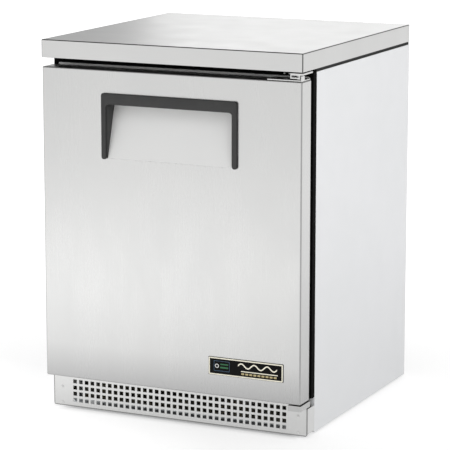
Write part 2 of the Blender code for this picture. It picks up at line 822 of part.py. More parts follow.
def make_hinge_brackets():
    """Pressed plates that carry the pins. Only their front parts reach the cabinet's side."""
    inner, narrow, visible_back = 0.2765, 0.2955, 0.052
    wall = 0.0025
    plate_z = (SHELL_TOP + 0.0005, SHELL_TOP + 0.0005 + 0.0035)
    top = block("top_hinge_bracket", (inner, 0.3045), (0.001, visible_back), plate_z, steel())
    flange = block("top_flange", (inner, 0.2980), (0.001, 0.001 + wall), (0.7675, plate_z[1] - 0.001))
    cut(flange, block("top_flange_window", (inner + 0.0025, 0.2955), (-0.010, 0.010), (0.7700, 0.7742)))
    join(
        top,
        block("top_plate_rear", (inner, narrow), (visible_back - 0.002, 0.112), plate_z),
        flange,
        pin("top_hinge_boss", (0.7650, SHELL_TOP + 0.002), radius=0.0075, sides=16),
        pin("top_hinge_pin", (0.7450, 0.7660)),
    )
    x, back, z = (inner - 0.002, 0.304), (0.0006, visible_back), (0.0755, 0.0780)
    rear = 0.0725
    flange_z = (0.066, z[1] - 0.001)
    bottom = block("bottom_hinge_bracket", x, back, z, steel())
    join(
        bottom,
        block("bracket_plate_rear", (x[0], narrow), (visible_back - 0.002, rear), z),
        block("bracket_front_flange", x, (back[0], back[0] + wall), flange_z),
        block("bracket_side_flange", (x[1] - wall, x[1]), back, flange_z),
        block("bracket_rear_flange", (x[0], narrow), (rear - wall, rear), flange_z),
        pin("bottom_hinge_pin", (z[0] + 0.001, 0.100)),
    )


# Door, built in its closed place and hung on an empty that stands on the hinge axis.

def pocket_ramp_z(back, offset):
    """Height of the pocket's sloping floor at a depth, with the floor moved outwards by offset."""
    slope = (POCKET_RAMP_TOP - POCKET_BOTTOM) / POCKET_DEPTH
    return POCKET_BOTTOM + slope * back - offset * math.sqrt(1 + slope**2)


def on_profile(points):
    """(back, Z) points as the (Y, Z) pairs of a side view."""
    return [(DOOR_FACE_Y + back, z) for back, z in points]


def make_door_panel():
    half = DOOR_WIDTH / 2
    panel = (-half, half), (0, DOOR_THICK), (DOOR_BOTTOM, DOOR_TOP)
    skin = pan("door_skin", *panel, (0, 1, 0), 0.001, steel(), bevel=0.0035)
    cut(
        skin,
        block(
            "pull_cutout",
            (-CUTOUT_HALF_WIDTH, CUTOUT_HALF_WIDTH),
            (-0.010, 0.010),
            (POCKET_BOTTOM + 0.0002, POCKET_TOP + 0.0015),
        ),
        pin("skin_top_hole", (0.750, 0.780), radius=0.0048),
        pin("skin_bottom_hole", (0.070, 0.090), radius=0.0110, sides=16),
    )
    inset = 0.0014
    core = block(
        "door_foam",
        (inset - half, half - inset),
        (inset, DOOR_THICK - 0.0015),
        (DOOR_BOTTOM + inset, DOOR_TOP - inset),
        foam(),
    )
    round_edges(core, 0.0025, 2)
    plug = block("foam_plug", (-0.230, 0.230), (0.038, 0.0555), (0.154, 0.688))
    clear = SHEET + GAP
    deep = POCKET_DEPTH + clear
    space = [
        (-0.010, pocket_ramp_z(0, clear)),
        (0, pocket_ramp_z(0, clear)),
        (deep, pocket_ramp_z(deep, clear)),
        (deep, POCKET_TOP + clear),
        (-0.010, POCKET_TOP + clear),
    ]
    join(core, plug)
    cut(
        core,
        outline("pull_space", [on_profile(space)], 0.2980, None, (0, 0, 0), ALONG_X),
        pin("foam_top_bore", (0.743, 0.780), radius=0.0048),
        pin("foam_bottom_bore", (0.070, 0.1465), radius=0.0110, sides=16),
    )


def make_door_liner():
    """The moulded inner panel: a flat rim with a raised middle that fills the cabinet's mouth."""
    half, low, high = 0.3010, DOOR_BOTTOM + 0.0025, DOOR_TOP - 0.0025
    bm = bmesh.new()
    bmesh.ops.create_grid(bm, x_segments=1, y_segments=1, size=0.5)
    bmesh.ops.scale(bm, vec=(2 * half, high - low, 1), verts=bm.verts)
    bmesh.ops.rotate(bm, verts=bm.verts, matrix=Euler((math.radians(-90), 0, 0)).to_matrix())
    bm.normal_update()
    rim = bmesh.ops.inset_region(
        bm, faces=list(bm.faces), thickness=0.060, use_boundary=True, use_even_offset=True
    )["faces"]
    middle = [face for face in bm.faces if face not in rim]
    bmesh.ops.inset_region(bm, faces=middle, thickness=0.010, use_even_offset=True)
    bmesh.ops.translate(bm, vec=(0, 0.012, 0), verts=middle[0].verts)
    sheet_back = DOOR_THICK - 0.0011
    liner_at = place(0, sheet_back, (low + high) / 2)
    liner = add("door_liner", to_mesh(bm, "door_liner"), white_paint(), liner_at)
    thicken(liner, 0.0015, offset=1.0)


def make_door_gasket():
    edges = (-0.291, 0.291), (0.0865, 0.754)
    back = (DOOR_THICK + 0.0007, CABINET_FRONT - GAP)
    frame_plate("door_gasket", *edges, (0.273, 0.1045, 0.736), back, black_rubber())


def make_pull():
    floor_start = 0.0003
    sheet = 0.001
    deep = POCKET_DEPTH + sheet
    front_of_roof = 0.004
    points = [
        (floor_start, pocket_ramp_z(floor_start, 0)),
        (floor_start + sheet, pocket_ramp_z(floor_start + sheet, sheet)),
        (deep, pocket_ramp_z(deep, sheet)),
        (deep, POCKET_TOP + sheet),
        (front_of_roof, POCKET_TOP + sheet),
        (front_of_roof, POCKET_TOP),
        (POCKET_DEPTH, POCKET_TOP),
        (POCKET_DEPTH, POCKET_RAMP_TOP),
    ]
    outline("handle_pocket", [on_profile(points)], 2 * POCKET_HALF_WIDTH, steel(), (0, 0, 0), ALONG_X)

    outer, inner = BEZEL_HALF_WIDTH, BEZEL_LEG_INNER
    corner, tip, fillet = 0.005, 0.005, 0.007
    right = [
        *arc(inner + tip, BEZEL_BOTTOM + tip, tip, 180, 270),
        *arc(outer - tip, BEZEL_BOTTOM + tip, tip, 270, 360),
        *arc(outer - corner, BEZEL_TOP - corner, corner, 0, 90),
    ]
    arch = arc(inner - fillet, BEZEL_BAR_BOTTOM - fillet, fillet, 90, 0)
    left = [(-x, z) for x, z in reversed(right)]
    edge = [*right, *left, *[(-x, z) for x, z in reversed(arch)], *arch]
    thick = HANDLE_PROUD - GAP
    bezel_at = place(0, -GAP - thick / 2, 0)
    bezel = outline("handle_bezel", [edge], thick, black_plastic(), bezel_at, ALONG_Y)
    lip = block("bezel_lip", (-0.1465, 0.1465), (-0.002, 0.003), (BEZEL_BAR_BOTTOM, POCKET_TOP - 0.0015))
    join(bezel, lip)
    cheek_low = pocket_ramp_z(floor_start + sheet, sheet) + 0.0015
    cheek = [
        (-0.002, cheek_low),
        (floor_start + sheet, cheek_low),
        (deep, pocket_ramp_z(deep, 0)),
        (deep, POCKET_TOP + sheet),
        (-0.002, POCKET_TOP + sheet),
    ]
    cheek_thick = 0.002
    for side, sign in (("left", -1), ("right", 1)):
        middle = sign * (POCKET_HALF_WIDTH + GAP + cheek_thick / 2)
        cheek_at = (middle, 0, 0)
        cheek_name = f"bezel_cheek_{side}"
        join(bezel, outline(cheek_name, [on_profile(cheek)], cheek_thick, None, cheek_at, ALONG_X))


def make_badge():
    block("badge_plate", (0.092, 0.265), (-0.0023, -GAP), (0.126, 0.165), black_plastic(), bevel=0.0005)


def make_door_hinge_parts():
    strip = (0.2245, 0.3030), (0.002, 0.042), (DOOR_TOP + GAP, DOOR_TOP + 0.0023)
    plate = block("door_hinge_plate", *strip, steel())
    cut(plate, pin("plate_hole", (0.755, 0.770), radius=0.0045))
    join(plate, block("door_stop_tab", (0.3000, 0.3030), (0.002, 0.014), (DOOR_TOP + 0.001, 0.7730)))
    profile = [
        (0, 0.146),
        (0.0105, 0.146),
        (0.0105, 0.0812),
        (0.0075, 0.0812),
        (0.0075, 0.0783),
        (0.0044, 0.0783),
        (0.0044, 0.106),
        (0, 0.106),
    ]
    turned("hinge_cartridge", profile, black_plastic(), place(HINGE_X, HINGE_BACK, 0), steps=16)


def hang_door():
    pivot = bpy.data.objects.new("door_pivot", None)
    pivot.location = place(HINGE_X, HINGE_BACK, 0)
    parts.objects.link(pivot)
    bpy.context.view_layer.update()
    for name in DOOR_PARTS:
        obj = bpy.data.objects[name]
        obj.parent = pivot
        obj.matrix_parent_inverse = pivot.matrix_world.inverted()


DOOR_PARTS = (
    "door_skin",
    "door_foam",
    "door_liner",
    "door_gasket",
    "handle_pocket",
    "handle_bezel",
    "badge_plate",
    "door_hinge_plate",
    "hinge_cartridge",
)


ROUND_PARTS = (
    "compressor",
    "control_knob",
    "cord_gland",
    "drain_tube",
    "filter_drier",
    "discharge_line",
    "suction_line",
    "hinge_cartridge",
)


def smooth_round_parts():
    for name in ROUND_PARTS:
        mesh = bpy.data.objects[name].data
        mesh.shade_smooth()
        mesh.set_sharp_from_angle(angle=math.radians(35))


clear_scene()
parts = new_collection("undercounter_freezer")
tools = new_collection("cutters")
make_worktop()
make_side_panels()
make_rear()
make_base()
make_kick_grille()
make_front_trim()
make_insulation()
make_liner()
make_shelf_supports()
make_shelves()
make_evaporator()
make_control()
make_condensing_unit()
make_pipework()
make_hinge_brackets()
make_door_panel()
make_door_liner()
make_door_gasket()
make_pull()
make_badge()
make_door_hinge_parts()
hang_door()
smooth_round_parts()
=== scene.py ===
"""Looks for the undercounter freezer: finishes, fine surfaces, fasteners, light and camera.

Metres, +Z up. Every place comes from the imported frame. place(x, back, z) takes X from the middle, the
distance behind the door's face and the height above the floor.
"""

import json
import math

import bmesh
import bpy
from mathutils import Euler, Matrix, Vector


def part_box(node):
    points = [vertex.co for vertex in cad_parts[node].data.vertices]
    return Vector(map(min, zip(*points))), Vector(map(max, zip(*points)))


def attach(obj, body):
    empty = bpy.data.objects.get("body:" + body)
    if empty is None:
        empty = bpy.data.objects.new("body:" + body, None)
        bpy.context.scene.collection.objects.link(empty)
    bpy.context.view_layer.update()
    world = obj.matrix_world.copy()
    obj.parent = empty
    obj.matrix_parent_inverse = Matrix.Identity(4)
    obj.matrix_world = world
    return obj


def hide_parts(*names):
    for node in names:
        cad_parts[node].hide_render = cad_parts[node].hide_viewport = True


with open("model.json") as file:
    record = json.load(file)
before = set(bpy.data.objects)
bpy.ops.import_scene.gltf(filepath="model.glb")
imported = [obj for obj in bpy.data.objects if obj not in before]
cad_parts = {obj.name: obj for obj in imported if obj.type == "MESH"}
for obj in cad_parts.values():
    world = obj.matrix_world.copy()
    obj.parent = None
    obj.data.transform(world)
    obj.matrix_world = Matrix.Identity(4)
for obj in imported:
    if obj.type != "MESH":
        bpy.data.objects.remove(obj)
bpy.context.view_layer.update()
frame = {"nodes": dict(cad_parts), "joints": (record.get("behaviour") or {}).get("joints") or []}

# Sheet thicknesses, and the radii and segments of the larger folds
SHEET = 0.0012
DOOR_SHEET = 0.001
REAR_SHEET = 0.0009
LINER_SHEET = 0.0014
WORKTOP_FOLD = (0.0024, 5)
DOOR_FOLD = (0.0032, 6)
CAVITY_FOLD = (0.005, 4)

# Places
DOOR_FACE_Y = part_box("door_skin")[0].y
CABINET_BACK = 0.073
PULL_BAR_BOTTOM = 0.689
RAIL_SCREW_XS = (0.2395, 0.2508)
RAIL_SCREW_Z = 0.77
KICK_SCREW_Z = 0.0108
CAVITY_STEP_BACK = 0.27
CAVITY_STEP_Z = 0.31
REAR_SCREW_X = 0.294
SCREW_SINK = 0.0001

# Brushed grain, as noise scales across and along it, and the band of painted shade at the door's foot
GRAIN_FINE = 2600.0
GRAIN_LONG = 9.0
FOOT_SHADE = 0.79
FOOT_REACH = 0.078

# The floor's glow, which is painted light, under the body, far from it and in a painted pool of light; then
# the world's walls, ceiling and patch
GLOW_NEAR = 0.6
GLOW_FAR = 0.98
GLOW_POOL = 0.8
GLOW_POOL_AT = (-0.95, -1.4, 0)
WALL_GLOW = 0.63
CEILING_GLOW = 0.36
CEILING_SPAN = (0.55, 0.85)
CAMERA_SIDE = (0.417, -0.89, 0.188)
PATCH_SHARE = 0.55
PATCH_SPAN = (0.8, 0.96)

# Lights: name, place, target, size and radiance
SOFT_BOXES = (
    ("side_box", (1.5, -1.6, 2.0), (0.3, -0.2, 0.45), (1.1, 1.1), 3.6),
    ("top_box", (-0.52, 3.1, 1.75), (0.1, 0.0, 0.8), (2.4, 1.3), 1.08),
    ("front_box", (-1.6, -3.2, 1.3), (0, -0.3, 0.6), (2.4, 0.9), 0.68),
)

# Camera
CAMERA_AT = (2.1457, -4.5843, 1.3844)
CAMERA_TILT = 11.154
CAMERA_TURN = 25.21
CAMERA_LENS = 184.59


def place(x, back, z):
    return Vector((x, DOOR_FACE_Y + back, z))


def turned(*angles):
    """A rotation by angles in degrees about X, Y and Z."""
    return Euler([math.radians(angle) for angle in angles]).to_matrix().to_4x4()


def grey(tone):
    return (tone, tone, tone)


ALONG_X = turned(90, 0, 90)
ALONG_Y = turned(90, 0, 0)
FACING_FRONT = ALONG_Y
FACING_REAR = turned(-90, 0, 0)
FACING_UP = Matrix.Identity(4)


# ---- Materials ----

class Nodes:
    """Short helpers that add nodes to a tree. An input is a plain value or another node's output."""

    def __init__(self, tree):
        self.tree = tree

    def feed(self, socket, value):
        if isinstance(value, bpy.types.NodeSocket):
            self.tree.links.new(value, socket)
        else:
            socket.default_value = value

    def node(self, kind, *inputs, **values):
        """A node with its first inputs in order, and its settings and other inputs by name."""
        made = self.tree.nodes.new(kind)
        for key, value in values.items():
            if key in made.inputs:
                self.feed(made.inputs[key], value)
            else:
                setattr(made, key, value)
        for socket, value in zip(made.inputs, inputs):
            self.feed(socket, value)
        return made

    def coordinates(self, kind="Object"):
        return self.node("ShaderNodeTexCoord").outputs[kind]

    def calc(self, operation, *inputs):
        return self.node("ShaderNodeMath", *inputs, operation=operation).outputs[0]

    def vector(self, operation, *inputs):
        return self.node("ShaderNodeVectorMath", *inputs, operation=operation).outputs

    def axes(self, vector):
        return self.node("ShaderNodeSeparateXYZ", vector).outputs

    def ramp(self, factor, low, high, start=0.3, end=0.7, **settings):
        """Maps a factor to a value between low and high."""
        made = self.node("ShaderNodeMapRange", factor, start, end, low, high, **settings)
        return made.outputs["Result"]


class Finish(Nodes):
    """A Principled material and short helpers that add procedural detail to it."""

    def __init__(self, name, color, roughness, metallic=0.0):
        self.material = bpy.data.materials.new(name)
        self.material.use_nodes = True
        super().__init__(self.material.node_tree)
        self.shader = self.tree.nodes["Principled BSDF"]
        self.set(Base_Color=(*color, 1), Roughness=roughness, Metallic=metallic)

    def set(self, **values):
        for key, value in values.items():
            self.feed(self.shader.inputs[key.replace("_", " ")], value)
        return self

    def space(self, stretch=(1, 1, 1)):
        """Object coordinates, stretched, so that a pattern keeps its real size and rides with its part."""
        mapping = self.node("ShaderNodeMapping", Vector=self.coordinates(), Scale=stretch)
        return mapping.outputs["Vector"]

    def noise(self, scale, detail=3.0, stretch=(1, 1, 1)):
        space = self.space(stretch)
        made = self.node("ShaderNodeTexNoise", Vector=space, Scale=scale, Detail=detail, Roughness=0.55)
        return made.outputs["Fac"]

    def cells(self, scale):
        return self.node("ShaderNodeTexVoronoi", Vector=self.space(), Scale=scale).outputs

    def blend(self, factor, *colors):
        """Mixes two colours by a factor."""
        mix = self.node("ShaderNodeMix", data_type="RGBA", Factor=factor)
        for key, color in zip("AB", colors):
            self.feed(mix.inputs[key], (*color, 1) if isinstance(color, tuple) else color)
        return mix.outputs["Result"]

    def flatness(self):
        """1 on faces square to the axes, falling to 0.7 in the middle of a fold."""
        axes = self.axes(self.vector("ABSOLUTE", self.coordinates("Normal"))[0])
        return self.calc("MAXIMUM", self.calc("MAXIMUM", axes["X"], axes["Y"]), axes["Z"])

    def fold_line(self, across, spot, reach=0.0027, core=0.3):
        """0 along a fold on either side of the middle, 1 beyond its reach. across masks its own axis."""
        masked = self.vector("MULTIPLY", self.vector("ABSOLUTE", self.coordinates())[0], across)[0]
        fold = [abs(part) * mask for part, mask in zip(spot, across)]
        away = self.vector("DISTANCE", masked, fold)["Value"]
        return self.ramp(away, 0.0, 1.0, core * reach, reach)

    def bump(self, factor, height, strength):
        made = self.node("ShaderNodeBump", Strength=strength, Distance=height, Height=factor)
        return self.set(Normal=made.outputs["Normal"])


def brushed_steel(name, grain="X", tone=0.52, roughness=0.28, metallic=1.0, fold=0.6, lines=(), foot=None):
    """Stainless sheet with a brushed grain along one axis, cloudy polish and painted shade in its folds, at
    fold times its tone.

    lines lists sharp folds, as (across, spot), that get a painted dark line of their own.
    foot is the height of a lower edge, above which a band of painted shade fades out.
    """
    finish = Finish(name, grey(tone), roughness, metallic)
    stretch = [GRAIN_LONG if axis == grain else GRAIN_FINE for axis in "XYZ"]
    strokes = finish.noise(1.0, 2.0, stretch)
    clouds = finish.ramp(finish.noise(5.0, 4.0), 0.0, 1.0, 0.35, 0.65)
    light, dark = (tone * 1.01, tone * 1.01, tone), (tone * 0.985, tone * 0.987, tone * 0.98)
    sheet = finish.blend(clouds, light, dark)
    # Painted shade: faces that turn away from the axes, in folds and rounds, get a darker tone.
    if fold < 1.0:
        flatness = finish.ramp(finish.flatness(), 0.0, 1.0, 0.93, 0.995)
        sheet = finish.blend(flatness, grey(tone * fold), sheet)
    # Painted shade: a dark line along each listed fold.
    for across, spot in lines:
        sheet = finish.blend(finish.fold_line(across, spot), grey(tone * fold), sheet)
    # Painted shade: a darker band that fades out upward from the lower edge.
    if foot is not None:
        band = finish.fold_line((0, 0, 1), (0, 0, foot), FOOT_REACH, 0.0)
        sheet = finish.blend(band, grey(tone * FOOT_SHADE), sheet)
    scratches = finish.ramp(strokes, -0.015, 0.015)
    smears = finish.ramp(finish.noise(14.0, 5.0, (1, 1, 0.35)), roughness - 0.02, roughness + 0.03)
    finish.set(Base_Color=sheet, Roughness=finish.calc("ADD", scratches, smears))
    return finish.bump(strokes, 0.00001, 0.12).material


def mottled(name, colors, patches, rough, grain, metallic=0.0, **extra):
    """A finish with two colours in patches, patchy roughness and a fine bump.

    patches is (scale, detail, start, end). rough is (low, high), and the scale and detail of its own
    patches if it has any. grain is the bump's (scale, detail, height, strength).
    """
    finish = Finish(name, colors[0], rough[0], metallic)
    cloud = finish.noise(*patches[:2])
    smear = finish.noise(*rough[2:]) if rough[2:] else cloud
    color = finish.blend(finish.ramp(cloud, 0, 1, *patches[2:]), *colors)
    finish.set(Base_Color=color, Roughness=finish.ramp(smear, *rough[:2]), **extra)
    return finish.bump(finish.noise(*grain[:2]), *grain[2:]).material


def white_panel():
    """White baked paint over steel, with a fine orange peel and slightly duller handled areas."""
    colors = (0.76, 0.765, 0.78), (0.74, 0.75, 0.76)
    return mottled("white_panel", colors, (3.0, 3.0), (0.3, 0.42, 24.0, 4.0), (900.0, 1.0, 0.00004, 0.25))


def white_moulding():
    """Vacuum-formed white plastic or enamel with a soft pebble."""
    colors = (0.84, 0.84, 0.83), (0.8, 0.8, 0.79)
    grain = (1400.0, 2.0, 0.00005, 0.3)
    return mottled("white_moulding", colors, (4.0, 3.0), (0.32, 0.46, 60.0, 3.0), grain, Coat_Weight=0.15)


def galvanised():
    """Zinc-coated sheet with its crystal spangle."""
    finish = Finish("galvanised", (0.55, 0.57, 0.58), 0.42, 1.0)
    spangle = finish.node("ShaderNodeSeparateColor", finish.cells(140.0)["Color"]).outputs
    shade = finish.ramp(spangle["Red"], 0, 1, 0, 1)
    finish.set(Base_Color=finish.blend(shade, (0.55, 0.57, 0.58), (0.5, 0.52, 0.53)))
    finish.set(Roughness=finish.ramp(spangle["Green"], 0.38, 0.46, 0, 1))
    return finish.bump(finish.noise(300.0), 0.00005, 0.3).material


def aluminium(tone=0.78):
    """Rolled aluminium sheet with a faint rolling grain and cloudy oxide."""
    finish = Finish("aluminium", grey(tone), 0.36, 1.0)
    clouds = finish.ramp(finish.noise(9.0, 5.0), 0, 1)
    bright, dull = (tone, tone, tone * 1.01), (tone * 0.96, tone * 0.96, tone * 0.97)
    smears = finish.ramp(finish.noise(40.0, 4.0), 0.36, 0.42)
    finish.set(Base_Color=finish.blend(clouds, bright, dull), Roughness=smears)
    return finish.bump(finish.noise(1.0, stretch=(1200, 8, 1200)), 0.00003, 0.3).material


def black_plastic(name="black_plastic", tone=0.01, roughness=0.42, shine=0.22):
    """Moulded plastic with a spark-eroded texture, rubbed patches and painted shade on its rounded edges."""
    finish = Finish(name, grey(tone), roughness, 0.0)
    rubbed = finish.noise(30.0, 4.0)
    worn = (tone * 1.35, tone * 1.35, tone * 1.32)
    face = finish.blend(finish.ramp(rubbed, 0, 1, 0.45, 0.8), grey(tone), worn)
    # Painted shade: rounded edges get a much darker tone.
    flatness = finish.ramp(finish.flatness(), 0.0, 1.0, 0.8, 0.98)
    finish.set(Base_Color=finish.blend(flatness, grey(tone * 0.12), face), Specular_IOR_Level=shine)
    finish.set(Roughness=finish.ramp(rubbed, roughness - 0.05, roughness + 0.1))
    return finish.bump(finish.noise(2200.0, 2.0), 0.00006, 0.4).material


def black_rubber():
    """Soft vinyl with a dusty bloom."""
    colors = (0.01, 0.01, 0.01), (0.03, 0.03, 0.029)
    bloom, grain = (45.0, 5.0, 0.45, 0.85), (700.0, 3.0, 0.00005, 0.3)
    return mottled("black_rubber", colors, bloom, (0.55, 0.78), grain, Specular_IOR_Level=0.2)


def black_paint():
    """Thick satin paint on pressed steel, with patches of dust."""
    colors = (0.016, 0.016, 0.017), (0.06, 0.058, 0.054)
    return mottled("black_paint", colors, (35.0, 5.0, 0.5, 0.9), (0.32, 0.62), (500.0, 2.0, 0.00008, 0.3))


def copper():
    """Drawn copper tube, browned in patches."""
    colors = (0.78, 0.4, 0.25), (0.42, 0.2, 0.12)
    stain, grain = (55.0, 5.0, 0.4, 0.75), (900.0, 3.0, 0.00003, 0.25)
    return mottled("copper", colors, stain, (0.22, 0.48), grain, 1.0)


def coated_wire():
    """Wire under a thick pale vinyl coat, mottled in faint patches."""
    colors = (0.8, 0.81, 0.8), (0.72, 0.73, 0.72)
    grain = (260.0, 3.0, 0.00015, 0.3)
    return mottled("coated_wire", colors, (40.0, 3.0), (0.24, 0.4, 120.0, 3.0), grain, Coat_Weight=0.3)


def foam():
    """Rigid polyurethane with its fine closed cells."""
    finish = Finish("foam", (0.82, 0.72, 0.48), 0.9)
    cell = finish.cells(900.0)["Distance"]
    color = finish.blend(finish.ramp(cell, 0, 1, 0, 0.6), (0.7, 0.58, 0.34), (0.86, 0.77, 0.53))
    return finish.set(Base_Color=color).bump(cell, 0.0003, 0.5).material


def printed(name, color, roughness):
    """A printed or foil-stamped colour with a faint mottle."""
    finish = Finish(name, color, roughness)
    mottle = finish.noise(350.0)
    faded = tuple(0.88 * part for part in color)
    finish.set(Base_Color=finish.blend(finish.ramp(mottle, 0, 1), color, faded), Specular_IOR_Level=0.2)
    finish.set(Roughness=finish.ramp(mottle, roughness - 0.06, roughness + 0.08))
    return finish.bump(mottle, 0.00002, 0.2).material


def pale_floor():
    """A white sweep that glows with painted light: a painted shadow under the body, brighter further out and
    a painted pool of light at the front left.
    """
    finish = Finish("pale_floor", grey(0.6), 0.9)
    mottle = finish.ramp(finish.noise(0.6), 0, 1)
    coords = finish.coordinates()
    # Painted light: the glow grows further from the body.
    far = finish.vector("DISTANCE", coords, (0, 0, 0))["Value"]
    outward = finish.ramp(far, GLOW_NEAR, GLOW_FAR, 0.5, 2.0)
    # Painted light: a pool of glow at the front left.
    near_pool = finish.vector("DISTANCE", coords, GLOW_POOL_AT)["Value"]
    pool = finish.ramp(near_pool, GLOW_POOL, 0.0, 0.1, 1.5)
    # Painted shadow: the glow fades out under the body's footprint.
    axes = finish.axes(coords)
    reach = finish.calc("MAXIMUM", *[finish.calc("ABSOLUTE", axes[axis]) for axis in "XY"])
    outside = finish.ramp(reach, 0.0, 1.0, 0.22, 0.29)
    glow = finish.calc("MULTIPLY", finish.calc("ADD", outward, pool), outside)
    finish.set(Base_Color=finish.blend(mottle, grey(0.6), grey(0.595)))
    return finish.set(Emission_Color=(1, 1, 1, 1), Emission_Strength=glow).material


KICK_LOW, KICK_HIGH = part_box("kick_grille")
# Folds of the kick panel that get a painted dark line, a painted shade, in its steel.
KICK_CORNER = ((1, 1, 0), (KICK_HIGH.x, KICK_LOW.y, 0))
KICK_HEM = ((0, 1, 1), (0, KICK_LOW.y, KICK_LOW.z))

# Steels: fold sets the painted shade in their folds, lines add painted dark lines, and foot adds a band of
# painted shade at the door's foot.
STEEL_UPRIGHT = brushed_steel("steel_upright", "Z", tone=0.505, foot=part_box("door_skin")[0].z)
STEEL_TOP = brushed_steel("steel_top", roughness=0.32, fold=0.12)
STEEL_KICK = brushed_steel("steel_kick", "X", 0.62, 0.34, fold=0.25, lines=(KICK_CORNER, KICK_HEM))
STEEL_POCKET = brushed_steel("steel_pocket", "X", 0.74, 0.48, metallic=0.25, fold=1.0)
STEEL_BRACKET = brushed_steel("steel_bracket", "X", 0.46, 0.32, fold=0.35)
STEEL_BRIGHT = brushed_steel("steel_bright", "X", 0.56, 0.3, fold=0.7)
SATIN_FRAME = brushed_steel("satin_frame", "X", 0.86, 0.4, metallic=0.25, fold=1.0)
WHITE_PANEL = white_panel()
WHITE_MOULDING = white_moulding()
GALVANISED = galvanised()
ALUMINIUM = aluminium()
BLACK_PLASTIC = black_plastic()
CHARCOAL_PLASTIC = black_plastic("charcoal_plastic", 0.036, 0.48)
DEAD_BLACK = black_plastic("dead_black", 0.003, 0.7, 0.03)
BLACK_RUBBER = black_rubber()
BLACK_PAINT = black_paint()
COPPER = copper()
COATED_WIRE = coated_wire()
FOAM = foam()
CREAM_FOIL = printed("cream_foil", (0.95, 0.91, 0.76), 0.45)
GOLD_PRINT = printed("gold_print", (0.5, 0.42, 0.22), 0.4)
BLUE_PRINT = printed("blue_print", (0.13, 0.22, 0.34), 0.4)
GREEN_PRINT = printed("green_print", (0.04, 0.16, 0.07), 0.4)
BADGE_FIELD = black_plastic("badge_field", 0.004, 0.5, 0.08)
WHITE_PRINT = printed("white_print", (0.75, 0.75, 0.74), 0.45)
GREY_PRINT = printed("grey_print", (0.12, 0.12, 0.13), 0.45)


# ---- Mesh helpers ----

def finished(name, mesh, finish, smooth=30):
    """A piece in place with its material and smooth shading that keeps creases sharp."""
    obj = bpy.data.objects.new(name, mesh)
    bpy.context.scene.collection.objects.link(obj)
    mesh.materials.clear()
    mesh.materials.append(finish)
    mesh.shade_smooth()
    mesh.set_sharp_from_angle(angle=math.radians(smooth))
    return obj


def shaped(name, bm, finish, smooth=30.0, matrix=FACING_UP):
    """A finished piece from a bmesh."""
    mesh = bpy.data.meshes.new(name)
    bm.normal_update()
    bm.to_mesh(mesh)
    bm.free()
    mesh.transform(matrix)
    return finished(name, mesh, finish, smooth)


def settle(piece, body, slot, *nodes):
    """Rides a piece on its body and lets it stand for CAD nodes. slot is not used."""
    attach(piece, body)
    if nodes:
        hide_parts(*nodes)
    return piece


def bake(obj):
    """Applies an object's modifiers to its mesh."""
    bpy.context.view_layer.update()
    source = obj.evaluated_get(bpy.context.evaluated_depsgraph_get())
    mesh = bpy.data.meshes.new_from_object(source)
    bm = bmesh.new()
    bm.from_mesh(mesh)
    bmesh.ops.remove_doubles(bm, verts=bm.verts, dist=1e-6)
    bm.to_mesh(mesh)
    bm.free()
    obj.modifiers.clear()
    return mesh


def rebuilt(obj, smooth=30):
    """The same piece with its modifiers applied."""
    name, finish, mesh = obj.name, obj.data.materials[0], bake(obj)
    bpy.data.objects.remove(obj)
    return finished(name, mesh, finish, smooth)


def sheeted(obj, thickness, offset):
    """Gives an open surface a sheet's thickness, on the inside (-1), the outside (1) or both (0)."""
    sheet = obj.modifiers.new("sheet", "SOLIDIFY")
    sheet.thickness = thickness
    sheet.offset = offset
    return obj


def bored(obj, *cutters):
    """Cuts shapes out of an object and removes them."""
    for cutter in cutters:
        modifier = obj.modifiers.new("bore", "BOOLEAN")
        modifier.operation = "DIFFERENCE"
        modifier.object = cutter
    piece = rebuilt(obj)
    for cutter in cutters:
        bpy.data.objects.remove(cutter)
    return piece


def bevelled(obj, width, segments=2, angle=40):
    bevel = obj.modifiers.new("soft_edges", "BEVEL")
    bevel.width = width
    bevel.segments = segments
    bevel.limit_method = "ANGLE"
    bevel.angle_limit = math.radians(angle)
    bevel.harden_normals = True
    return obj


def true_faces(obj):
    """Keeps wide flat faces shaded flat, and smooths only the folds between them."""
    weighted = obj.modifiers.new("true_faces", "WEIGHTED_NORMAL")
    weighted.keep_sharp = True
    weighted.weight = 100
    return obj


def repaint(nodes, finish, soft=0, segments=2, angle=40):
    """Gives CAD nodes a finish and softened edges."""
    for name in nodes:
        obj = frame["nodes"][name]
        obj.data.materials.clear()
        obj.data.materials.append(finish)
        if soft:
            bevelled(obj, soft, segments, angle)


def cuboid(low, high):
    """A bmesh block between two corners."""
    bm = bmesh.new()
    bmesh.ops.create_cube(bm, size=1.0)
    bmesh.ops.scale(bm, vec=Vector(high) - Vector(low), verts=bm.verts)
    bmesh.ops.translate(bm, vec=(Vector(high) + Vector(low)) / 2, verts=bm.verts)
    bm.normal_update()
    return bm


def round_edges(bm, edges, width, segments, **settings):
    bmesh.ops.bevel(bm, geom=edges, offset=width, segments=segments, profile=0.5, affect="EDGES", **settings)


def round_folds(bm, width, segments):
    """Rounds the folds of an open surface."""
    round_edges(bm, [e for e in bm.edges if e.is_manifold], width, segments)


def round_sharp(bm, width, segments, angle=40):
    """Rounds every edge that is sharper than an angle."""
    bm.normal_update()
    sharp = [e for e in bm.edges if e.is_manifold and e.calc_face_angle() > math.radians(angle)]
    round_edges(bm, sharp, width, segments, clamp_overlap=True)


def folded_tray(name, low, high, open_side, fold, finish):
    """A block's surface without its open side, with rounded folds."""
    bm = cuboid(low, high)
    side = [f for f in bm.faces if f.normal.dot(Vector(open_side)) > 0.9]
    bmesh.ops.delete(bm, geom=side, context="FACES_ONLY")
    round_folds(bm, *fold)
    return shaped(name, bm, finish)


def rounded_box(name, low, high, radius, finish, segments=3):
    bm = cuboid(low, high)
    round_sharp(bm, radius, segments)
    return shaped(name, bm, finish)


